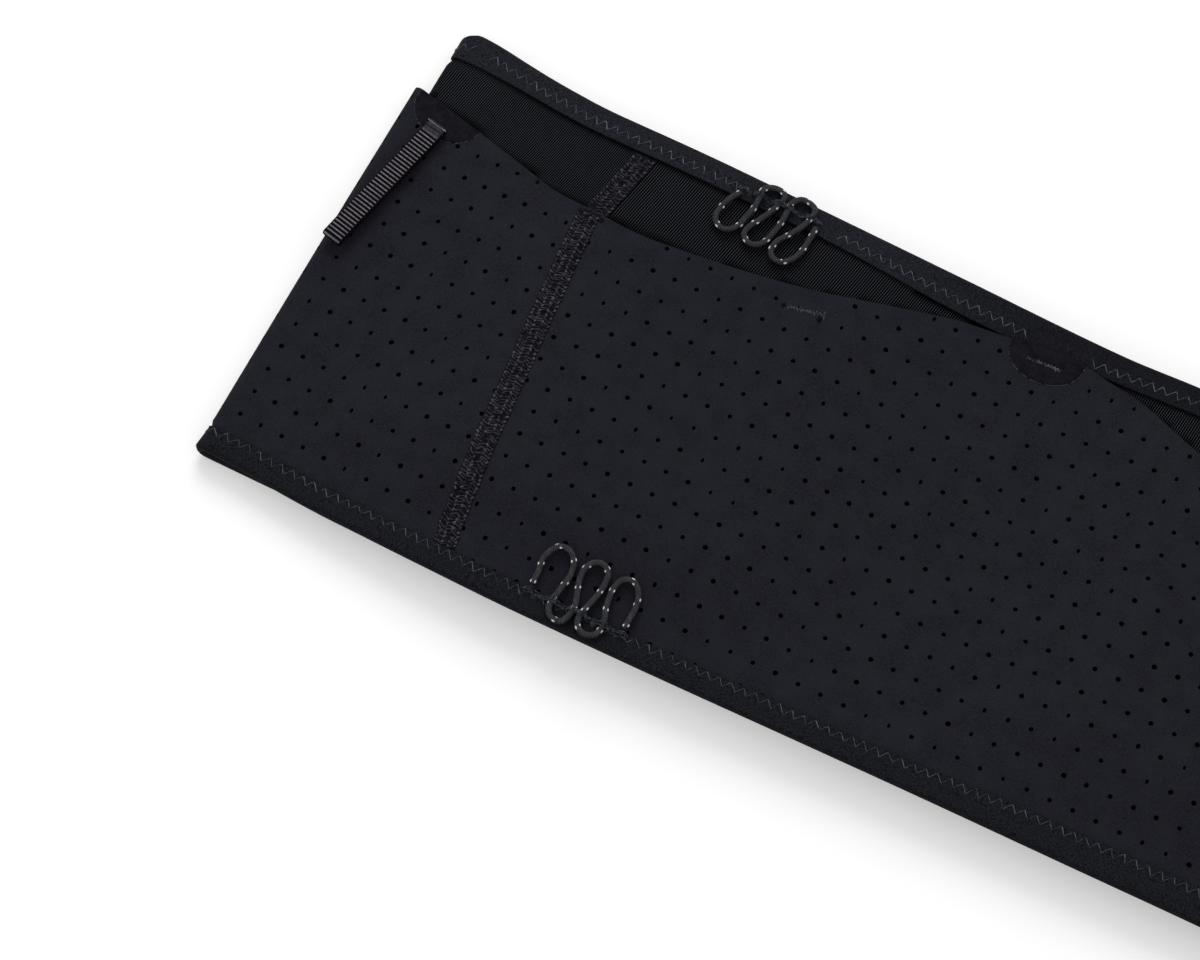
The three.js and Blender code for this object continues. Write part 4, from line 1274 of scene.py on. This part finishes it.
add_binding("top_binding_elastic", "top_binding", high_edge, -1, TOP_BINDING_WIDTH,
            lambda u: high_edge(u) - top_binding_lip(u), top_stack, True, TOP_STITCH_INSET)
# The bottom binding takes the elastic painted darker, as shade
add_binding("bottom_binding_elastic", "bottom_binding", low_edge, 1, BOTTOM_BINDING_WIDTH,
            lambda u: BOTTOM_BINDING_WIDTH - BOTTOM_STITCH_INSET + bottom_stitch_inset(u),
            lambda u: np.full(u.shape, BOTTOM_STACK), False, BOTTOM_STITCH_INSET, SHADED_ELASTIC)


def add_zigzag(name, edge, inwards, inset, surface, materials, gaps=()):
    """Zigzag thread round a binding; materials are those of its strokes there and back."""
    whole = 2 * REAR_MIDDLE
    count = int(round(whole / ZIGZAG_PITCH)) * 2
    u = centred_steps(count, whole)
    u = u + rng.uniform(-ZIGZAG_SWAY_SHARE, ZIGZAG_SWAY_SHARE, len(u)) * ZIGZAG_PITCH
    swing = alternating(len(u)) * ZIGZAG_REACH * rng.uniform(*ZIGZAG_REACH_SWAY, len(u))
    y = edge(u) + inwards * inset(u) + swing
    points = np.stack([u, y, np.full(len(u), -PUCKER * ZIGZAG_SINK_SHARE)], -1)
    for part, first, material in zip(("light", "back"), (0, 1), materials):
        starts, ends = points[first:-1:2], points[first + 1::2]
        seen = np.ones(len(starts), bool)
        for low, high in gaps:
            seen &= (starts[:, 0] < low) | (starts[:, 0] > high)
        radius = ZIGZAG_RADIUS * rng.uniform(*ZIGZAG_RADIUS_SWAY, len(starts))
        strokes = [(starts[seen], ends[seen], radius[seen])]
        add_stitches(f"{name}_{part}", "seam_thread", strokes, surface, material=material)


add_zigzag("top_binding_zigzag", high_edge, -1,
           lambda u: follow(TOP_STITCH_SHARES, share_along(x_of(u))), on_top_binding,
           (ZIGZAG_THREAD, ZIGZAG_BACK), ZIGZAG_GAPS)
# The bottom zigzag takes the darker copies of the thread, as painted shade
add_zigzag("bottom_binding_zigzag", low_edge, 1, bottom_stitch_inset, on_bottom_binding,
           (ZIGZAG_BACK, ZIGZAG_DIM))

# Flatlock seams: four needle lines of plump stitches, with cover threads hatched between them
NEEDLE_SHARES = (-0.42, -0.145, 0.145, 0.42)
NEEDLE_PITCH = 0.0012
NEEDLE_RADII = (0.0003, 0.00033, 0.00037, 0.00032)
NEEDLE_LENGTH_SHARE = 0.62
NEEDLE_LEAN = 0.2
NEEDLE_LEAN_SWAY = 0.12
NEEDLE_SWAY_ALONG = 0.16
NEEDLE_SWAY_ACROSS = 0.1
NEEDLE_RADIUS_SWAY = (0.7, 1.1)
BRIGHT_SHARE = 0.6
COVER_SHARE = 0.8
HATCH_PITCH = 0.00083
HATCH_RADIUS = 0.00017
HATCH_TILT = 0.4
HATCH_SWAY = 0.3
# The band that the threads lie on
SEAM_BASE = 0.00012
SEAM_BASE_FLOOR = 0.05
SEAM_BASE_EDGE = 0.1
SEAM_COLUMNS = 9
SEAM_STEP = 0.0015


def needle_line(k, line, low, high):
    """Starts, ends and radii of the stitches of needle k, and which of them are bright."""
    ys = np.arange(low, high - NEEDLE_PITCH, NEEDLE_PITCH) + (k % 2) * NEEDLE_PITCH / 2
    count = len(ys)
    ys = ys + rng.uniform(-NEEDLE_SWAY_ALONG, NEEDLE_SWAY_ALONG, count) * NEEDLE_PITCH
    sway = rng.uniform(-NEEDLE_SWAY_ACROSS, NEEDLE_SWAY_ACROSS, count)
    at = line(ys) + NEEDLE_SHARES[k] * SEAM_WIDTH + sway * NEEDLE_PITCH
    lean_to = NEEDLE_LEAN if k % 2 else -NEEDLE_LEAN
    leant = (lean_to + rng.uniform(-NEEDLE_LEAN_SWAY, NEEDLE_LEAN_SWAY, count)) * NEEDLE_PITCH
    height = np.full(count, SEAM_BASE)
    radii = NEEDLE_RADII[k] * rng.uniform(*NEEDLE_RADIUS_SWAY, count)
    starts = np.stack([at - leant, ys, height], -1)
    ends = np.stack([at + leant, ys + NEEDLE_LENGTH_SHARE * NEEDLE_PITCH, height], -1)
    return starts, ends, radii, rng.uniform(size=count) < BRIGHT_SHARE


def cover_line(k, line, low, high):
    """Cover threads between needle k and the next one."""
    ys = np.arange(low + HATCH_PITCH / 2, high - HATCH_PITCH / 2, HATCH_PITCH)
    tilt = (HATCH_TILT if k % 2 else -HATCH_TILT) * HATCH_PITCH
    sway = rng.uniform(-HATCH_SWAY, HATCH_SWAY, (2, len(ys))) * HATCH_PITCH
    height = np.full(len(ys), SEAM_BASE)
    left, right = (line(ys) + share * SEAM_WIDTH for share in NEEDLE_SHARES[k:k + 2])
    starts = np.stack([left, ys - tilt + sway[0], height], -1)
    ends = np.stack([right, ys + tilt + sway[1], height], -1)
    kept = rng.uniform(size=len(ys)) < COVER_SHARE
    return starts[kept], ends[kept], HATCH_RADIUS


def add_flatlock(name, node, line, low, high, surface):
    """A flatlock seam along u = line(y), from y = low to y = high."""
    bright, dim = [], []
    for k in range(len(NEEDLE_SHARES)):
        *stitches, lit = needle_line(k, line, low, high)
        bright.append([part[lit] for part in stitches])
        dim.append([part[~lit] for part in stitches])
    cover = [cover_line(k, line, low, high) for k in range(len(NEEDLE_SHARES) - 1)]
    for part, sets, material in (("bright", bright, NEEDLE_THREAD), ("dim", dim, DIM_THREAD),
                                 ("cover", cover, COVER_THREAD)):
        add_stitches(f"{name}_{part}_threads", "seam_thread", sets, surface, material=material)
    rows = spread(low, high, SEAM_STEP)
    across = np.linspace(-0.5, 0.5, SEAM_COLUMNS)[:, None]
    height = np.full(across.shape, SEAM_BASE)
    height[[0, -1]] *= SEAM_BASE_EDGE
    points = two_faces(surface, line(rows) + across * SEAM_WIDTH, rows,
                       SEAM_BASE * SEAM_BASE_FLOOR, height)
    faces = thin_faces(SEAM_COLUMNS, len(rows))
    dress(add_piece(f"{name}_base", "seam_thread", points, faces, material=SEAM_GROUND), [node])


def add_seams():
    for side_name, hand in (("left", -1), ("right", 1)):
        x = hand * float(seam_x(0.0))
        ceiling = float(top_edge(x)) - TOP_BINDING_WIDTH - GAP / 2
        floor = float(low_edge(x)) + BOTTOM_BINDING_WIDTH + GAP / 2
        rim_end = float(rim(x)) - GAP
        add_flatlock(f"{side_name}_front_seam", f"{side_name}_front_flatlock",
                     lambda y, hand=hand: hand * seam_x(y), floor, rim_end, on_panel)
        add_flatlock(f"{side_name}_lining_seam", f"{side_name}_front_lining_flatlock",
                     lambda y, hand=hand: hand * seam_x(y), rim_end + 2 * GAP, ceiling, on_lining)
        rear_x = hand * REAR_SEAM_X
        floor = float(bottom_edge(rear_x)) + BOTTOM_BINDING_WIDTH + GAP / 2
        ceiling = float(top_edge(rear_x)) - TOP_BINDING_WIDTH - GAP / 2
        add_flatlock(f"{side_name}_rear_seam", f"{side_name}_rear_flatlock",
                     lambda y, rear_x=rear_x: np.full(np.shape(y), rear_x), floor, ceiling, on_rear)


add_seams()


# Half-round bonded patches and bartacks along the rim
class RimFrame:
    """A place on the rim, with its directions along and down into the panel."""

    def __init__(self, share):
        self.x = x_at(share)
        step = PATCH_CHORD / 2
        left, right = float(rim(self.x - step)), float(rim(self.x + step))
        self.y = min((left + right) / 2, float(rim(self.x)))
        self.along = np.array([2 * step, right - left])
        self.along /= np.linalg.norm(self.along)
        self.down = np.array([self.along[1], -self.along[0]])

    def at(self, along, down):
        along, down = np.broadcast_arrays(along, down)
        return (self.x + self.along[0] * along + self.down[0] * down,
                self.y + self.along[1] * along + self.down[1] * down)


PATCH_COLUMNS = 49
PATCH_ROWS = 13
PATCH_CORNER_SHARE = 0.05
PATCH_FLOOR = 0.00001
# The patch thins towards its edge over this run, to this share of its thickness
PATCH_THINNING_RUN = 0.0006
PATCH_THINNEST = 0.2
PATCH_EDGE_RADIUS = 0.00013
PATCH_EDGE_RADIUS_SWAY = (0.5, 1.0)
PATCH_EDGE_HEIGHT = 0.00004
PATCH_EDGE_SEEN_SHARE = 0.75


def add_patch(name, node, share):
    """A half-round patch that hangs from the rim, with the light line of its cut edge."""
    place = RimFrame(share)
    turn = np.linspace(-math.pi / 2, math.pi / 2, PATCH_COLUMNS)
    across, deep = np.sin(turn), np.cos(turn)
    rows = np.linspace(0, 1, PATCH_ROWS)
    depth = PATCH_DEPTH * (PATCH_CORNER_SHARE + (1 - PATCH_CORNER_SHARE) * deep)
    down = PATCH_RIM_INSET + rows[None] * depth[:, None]
    x, y = place.at((across * PATCH_CHORD / 2)[:, None], down)
    y = y + (1 - rows)[None] * (rim(x[:, :1]) - PATCH_RIM_MARGIN - y[:, :1])
    from_end = (1 - np.abs(across))[:, None] * PATCH_CHORD / 2
    from_edge = np.minimum((1 - rows)[None] * depth[:, None], from_end)
    crown = PATCH * np.sqrt(np.clip(from_edge / PATCH_THINNING_RUN, PATCH_THINNEST**2, 1))
    points = two_faces(on_panel, x, y, PATCH_FLOOR, crown)
    piece = add_piece(name, "bonded_patch", points, thin_faces(PATCH_COLUMNS, PATCH_ROWS))
    dress(piece, [node])
    arc = np.stack([x[:, -1], y[:, -1], np.full(PATCH_COLUMNS, PATCH_EDGE_HEIGHT)], -1)
    count = PATCH_COLUMNS - 1
    radius = PATCH_EDGE_RADIUS * rng.uniform(*PATCH_EDGE_RADIUS_SWAY, count)
    seen = rng.uniform(size=count) < PATCH_EDGE_SEEN_SHARE
    sets = [(arc[:-1][seen], arc[1:][seen], radius[seen])]
    add_stitches(f"{name}_edge", "bonded_patch", sets, on_panel, material=PATCH_EDGE)


add_patch("left_corner_bonded_patch", "left_corner_patch", CORNER_PATCH_SHARE)
add_patch("divider_bonded_patch", "divider_patch", DIVIDER_SHARE)
add_patch("right_corner_bonded_patch", "right_corner_patch", 1 - CORNER_PATCH_SHARE)

TACK_RADIUS = 0.00014
TACK_PITCH = 0.00045
TACK_BAR_RADIUS = 0.000224
# Bartacks: length, width, how far below the rim, height over the panel, share that strays
PATCH_TACK = (0.0096, 0.0009, 0.0036, PATCH, 0.3)
PLAIN_TACK = (0.0106, 0.0013, 0.0064, 0.00002, 0.25)
# The plain bartack's knot, from one place along and down to another
KNOT_ALONG = (0.0052, 0.0052)
KNOT_DOWN = (0.0052, 0.0077)
KNOT_HEIGHT = 0.00005
KNOT_RADIUS = 0.00028
# Two dark marks at its ends, painted shade: where each starts, then where each ends
SHADE_MARK_ALONG = (-0.0061, 0.0036, -0.0053, 0.0047)
SHADE_MARK_DOWN = (0.0058, 0.0082, 0.0063, 0.0075)
SHADE_MARK_HEIGHT = -0.0001
SHADE_MARK_RADIUS = 0.0006


def tack_stitches(place, length, width, down, height, messy):
    """Satin stitches of a bartack along the rim, with a bar under them."""
    count = int(round(length / TACK_PITCH))
    at = centred_steps(count, length)
    sway = rng.uniform(-1, 1, len(at)) * messy * width
    x, y = place.at(at, down + alternating(len(at)) * width / 2 + sway)
    points = np.stack([x, y, np.full(len(x), height)], -1)
    ends = place.at(np.array([-0.5, 0.5]) * length, down)
    bar = np.stack([ends[0], ends[1], np.full(2, height - TACK_RADIUS)], -1)
    return [(points[:-1], points[1:], TACK_RADIUS), (bar[:1], bar[1:], TACK_BAR_RADIUS)]


def rim_points(place, along, down, height):
    x, y = place.at(np.array(along), np.array(down))
    return np.stack([x, y, np.full(len(x), height)], -1)


def add_rim_tacks():
    for name, share in (("divider", DIVIDER_SHARE), ("right_corner", 1 - CORNER_PATCH_SHARE)):
        sets = tack_stitches(RimFrame(share), *PATCH_TACK)
        add_stitches(f"{name}_tack_threads", "seam_thread", sets, on_panel, [f"{name}_bartack"])
    place = RimFrame(PLAIN_TACK_SHARE)
    sets = tack_stitches(place, *PLAIN_TACK)
    knot = rim_points(place, KNOT_ALONG, KNOT_DOWN, KNOT_HEIGHT)
    sets.append((knot[:1], knot[1:], KNOT_RADIUS))
    add_stitches("rim_tack_threads", "seam_thread", sets, on_panel, ["rim_bartack"], ROW_THREAD)
    # Painted shade: two dark blobs at the bartack's ends
    shade_marks = rim_points(place, SHADE_MARK_ALONG, SHADE_MARK_DOWN, SHADE_MARK_HEIGHT)
    sets = [(shade_marks[:2], shade_marks[2:], SHADE_MARK_RADIUS)]
    add_stitches("rim_tack_shade_marks", "seam_thread", sets, on_panel, material=SEAM_GROUND)


add_rim_tacks()

# Webbing pull loop, drawn from its side and turned about +Z
WEBBING_WIDTH = 0.0058
WEBBING = 0.0008
PULL_LENGTH = 0.0408
PULL_GAP = 0.0005
PULL_RISE = 0.0012
PULL_ROOT = 0.0032
PULL_RIM_INSET = 0.0091
PULL_SHIFT = 0.00156
PULL_ANGLE = math.radians(-102.2)
WEBBING_STEP = 0.000125
WEBBING_RIB_DEPTH = 0.00016
WEBBING_FIRST_RIB = 0.0038
# Points across the webbing, as shares of half its width. The square of its thickness falls off
# with this power towards its edges, to no less than this share
WEBBING_COLUMNS = (-1, -0.97, -0.85, -0.5, 0, 0.5, 0.85, 0.97, 1)
WEBBING_POWER = 14
WEBBING_THINNEST = 0.08
PULL_STEPS = 60
PULL_NOSE_STEPS = 14
# The root is plain: the ribs are whole from here on, and set in over this run before it
PLAIN_END = 0.0008
PLAIN_RUN = 0.0006
# Places along the webbing from its root where its bend would start and end; they are worked out below
# and left unused
PULL_BEND_START = -0.0004
PULL_BEND_END = 0.0026
# Part of a rib's turn that the plain root is drawn at, which gives it a middle tone
PLAIN_TURN = 0.178


def pull_line():
    """Middle line of the webbing: the lower layer, its turn and the upper layer."""
    turn = (WEBBING + PULL_GAP) / 2
    straight = PULL_LENGTH - turn - WEBBING / 2
    t = np.linspace(0, 1, PULL_STEPS)
    lower = np.stack([t * straight, WEBBING / 2 + PULL_RISE * eased(t)], -1)
    angle = np.linspace(-math.pi / 2, math.pi / 2, PULL_NOSE_STEPS)[1:-1]
    end = lower[-1]
    nose = np.stack([end[0] + turn * np.cos(angle), end[1] + turn + turn * np.sin(angle)], -1)
    apart = WEBBING + PULL_GAP / 2 * (1 + eased(2 * t))
    upper = (lower + np.stack([np.zeros(PULL_STEPS), apart], -1))[::-1]
    root_low = np.array([[-PULL_ROOT, WEBBING / 2]])
    root_high = np.array([[-PULL_ROOT, WEBBING / 2 + WEBBING + PULL_GAP / 2]])
    return np.concatenate([root_low, lower, nose, upper, root_high])


def pull_matrix():
    place = RimFrame(CORNER_PATCH_SHARE)
    x, y = place.at(PULL_SHIFT, PULL_RIM_INSET)
    z = float(on_panel(x, y, PATCH + 2 * GAP)[2])
    return Matrix.Translation((float(x), float(y), z)) @ Matrix.Rotation(PULL_ANGLE, 4, "Z")


def turned(points, matrix):
    return points @ matrix[:3, :3].T + matrix[:3, 3]


def add_pull_loop():
    flat = pull_line()
    line, along = evenly(np.stack([flat[:, 0], np.zeros(len(flat)), flat[:, 1]], -1), WEBBING_STEP)
    tangent = np.gradient(line, axis=0)
    tangent /= np.linalg.norm(tangent, axis=1)[:, None]
    normal = np.stack([-tangent[:, 2], np.zeros(len(line)), tangent[:, 0]], -1)
    across = np.array(WEBBING_COLUMNS)
    thick = np.sqrt(np.clip(1 - np.abs(across) ** WEBBING_POWER, WEBBING_THINNEST, 1))
    from_root = along[-1] - along - PULL_ROOT
    turns = (from_root - WEBBING_FIRST_RIB) / WEBBING_RIB
    plain = eased((PLAIN_END - from_root) / PLAIN_RUN)
    rib = WEBBING_RIB_DEPTH * (0.5 - 0.5 * np.cos(2 * math.pi * turns)) ** 2 * (1 - plain)
    half = (WEBBING / 2 - rib)[:, None] * thick
    middle = line[:, None] + np.array([0, WEBBING_WIDTH / 2, 0]) * across[None, :, None]
    points = np.concatenate([
        (middle + normal[:, None] * half[..., None]).reshape(-1, 3),
        (middle - normal[:, None] * half[..., None]).reshape(-1, 3),
    ])
    drawn = (turns * (1 - plain) + 0.5 + PLAIN_TURN * plain) * WEBBING_RIB
    u = np.broadcast_to(drawn[:, None], half.shape).ravel()
    v = np.broadcast_to(across * WEBBING_WIDTH / 2, half.shape).ravel()
    uv = np.stack([u, v], -1)
    matrix = np.array(pull_matrix())
    faces = thin_faces(len(line), len(across))
    piece = add_piece("pull_webbing", "ribbed_webbing", turned(points, matrix), faces,
                      uv=np.concatenate([uv, uv]))
    start, end = (turned(np.array([x, 0, WEBBING]), matrix)
                  for x in (PULL_BEND_START, PULL_BEND_END))
    tuple(start)
    tuple(end)
    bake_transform(piece)
    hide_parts("pull_loop", "pull_loop_root")
    return matrix


# The bartack's rows: name, place along the webbing, thread radius and material
PULL_TACK_ROWS = (("pale", -0.0026, 0.00016, PALE_THREAD), ("dim", -0.0014, 0.0002, DIM_THREAD))
PULL_TACK_STITCHES = 12
PULL_TACK_OVERHANG = 0.0001
PULL_TACK_SWAY = 0.00014


def add_pull_tack(matrix):
    """A pale row of thread across the root of the webbing, and a dimmer one before it."""
    top = 2 * WEBBING + PULL_GAP / 2
    at = centred_steps(PULL_TACK_STITCHES, WEBBING_WIDTH + 2 * PULL_TACK_OVERHANG)

    def surface(u, y, height):
        return turned(np.stack([u, y, height], -1), matrix)

    for part, row, radius, material in PULL_TACK_ROWS:
        sway = rng.uniform(-1, 1, len(at)) * PULL_TACK_SWAY
        points = np.stack([row + sway, at, np.full(len(at), top)], -1)
        sets = [(points[:-1], points[1:], radius)]
        add_stitches(f"pull_webbing_tack_{part}", "seam_thread", sets, surface,
                     ["pull_loop_bartack"], material)


add_pull_tack(add_pull_loop())

# Stitch rows that hold the cords
ROW_STITCH = 0.0011
ROW_OVERHANG = 0.0018
ROW_SWAY_ALONG = 0.2
ROW_ZIGZAG = 0.00022
ROW_SWAY_ACROSS = 0.0002
ROW_OUT = 0.0009
ROW_HEIGHT = 0.0001
# Rows of one stitching: how far across, and the thread's radius
ROWS = ((-0.0005, 0.00016), (0, 0.0002), (0.0005, 0.00014))


def add_cord_stitching(name, place):
    """Rows of thread over a cord: they climb over it where it runs under them."""
    low, high = place.first - ROW_OVERHANG, place.last + ROW_OVERHANG
    sets = []
    for shift, radius in ROWS:
        at = np.arange(low, high, ROW_STITCH)
        at = at + rng.uniform(-ROW_SWAY_ALONG, ROW_SWAY_ALONG, len(at)) * ROW_STITCH
        sway = alternating(len(at)) * ROW_ZIGZAG + rng.uniform(-1, 1, len(at)) * ROW_SWAY_ACROSS
        y = place.y - place.inwards * ROW_OUT + shift + sway
        gap = np.abs(place.line[:, :2][None] - np.stack([place.x + at, y], -1)[:, None])
        near = np.hypot(gap[..., 0], gap[..., 1]).min(1)
        over = (CORD_DIAMETER + GAP) * np.sqrt(np.clip(1 - (near / CORD_DIAMETER) ** 2, 0, 1))
        points = np.stack([place.x + at, y, place.face + ROW_HEIGHT + over], -1)
        sets.append((points[:-1], points[1:], radius))
    add_stitches(f"{name}_cord_threads", "seam_thread", sets,
                 lambda x, y, z: np.stack([x, y, z], -1), [f"{name}_cord_stitching"],
                 material=ROW_THREAD)


for cord_name, cord_place in cords.items():
    add_cord_stitching(cord_name, cord_place)


# Sizes that the sheets of cloth are cut to, worked out and left unused
def declare_sheets():
    middle = 2 * float(seam_x(0.0))
    side = REAR_MIDDLE - REAR_SEAM_X - float(seam_x(0.0))
    front_height = float(rim(0.0)) - BOTTOM_Y


declare_sheets()

# Floor, light and background
FLOOR_SIZE = 6.0
FLOOR_WHITE = (0.8, 0.8, 0.8, 1)
# The floor glows a little, for the camera only, so that it comes out as white paper
FLOOR_GLOW = 0.35
WORLD_STRENGTH = 0.62
KEY_LIGHT_PLACE = (-0.9, 1.7, 1.6)
KEY_LIGHT_SIZE = 1.5
KEY_LIGHT_POWER = 26


def add_stage():
    half = FLOOR_SIZE / 2
    mesh = bpy.data.meshes.new("floor")
    corners = [(-half, -half, 0), (half, -half, 0), (half, half, 0), (-half, half, 0)]
    mesh.from_pydata(corners, [], [(0, 1, 2, 3)])
    floor = add_object("floor", mesh)
    material = bpy.data.materials.new("floor")
    material.use_nodes = True
    nodes, links = material.node_tree.nodes, material.node_tree.links
    nodes.clear()
    diffuse = nodes.new("ShaderNodeBsdfDiffuse")
    diffuse.inputs["Color"].default_value = FLOOR_WHITE
    glow = nodes.new("ShaderNodeEmission")
    path = nodes.new("ShaderNodeLightPath")
    scale = nodes.new("ShaderNodeMath")
    scale.operation = "MULTIPLY"
    scale.inputs[1].default_value = FLOOR_GLOW
    links.new(path.outputs["Is Camera Ray"], scale.inputs[0])
    links.new(scale.outputs[0], glow.inputs["Strength"])
    total = nodes.new("ShaderNodeAddShader")
    links.new(diffuse.outputs[0], total.inputs[0])
    links.new(glow.outputs[0], total.inputs[1])
    output = nodes.new("ShaderNodeOutputMaterial")
    links.new(total.outputs[0], output.inputs["Surface"])
    mesh.materials.append(material)

    world = bpy.data.worlds.new("studio")
    bpy.context.scene.world = world
    world.use_nodes = True
    background = world.node_tree.nodes["Background"]
    background.inputs["Color"].default_value = (1, 1, 1, 1)
    background.inputs["Strength"].default_value = WORLD_STRENGTH


def add_area_light(name, location, size, power):
    data = bpy.data.lights.new(name, "AREA")
    data.shape = "DISK"
    data.size = size
    data.energy = power
    light = add_object(name, data)
    light.location = location
    light.rotation_mode = "QUATERNION"
    light.rotation_quaternion = (-Vector(location)).to_track_quat("-Z", "Y")


add_stage()
add_area_light("key_light", KEY_LIGHT_PLACE, KEY_LIGHT_SIZE, KEY_LIGHT_POWER)
bpy.context.scene.view_settings.view_transform = "Standard"
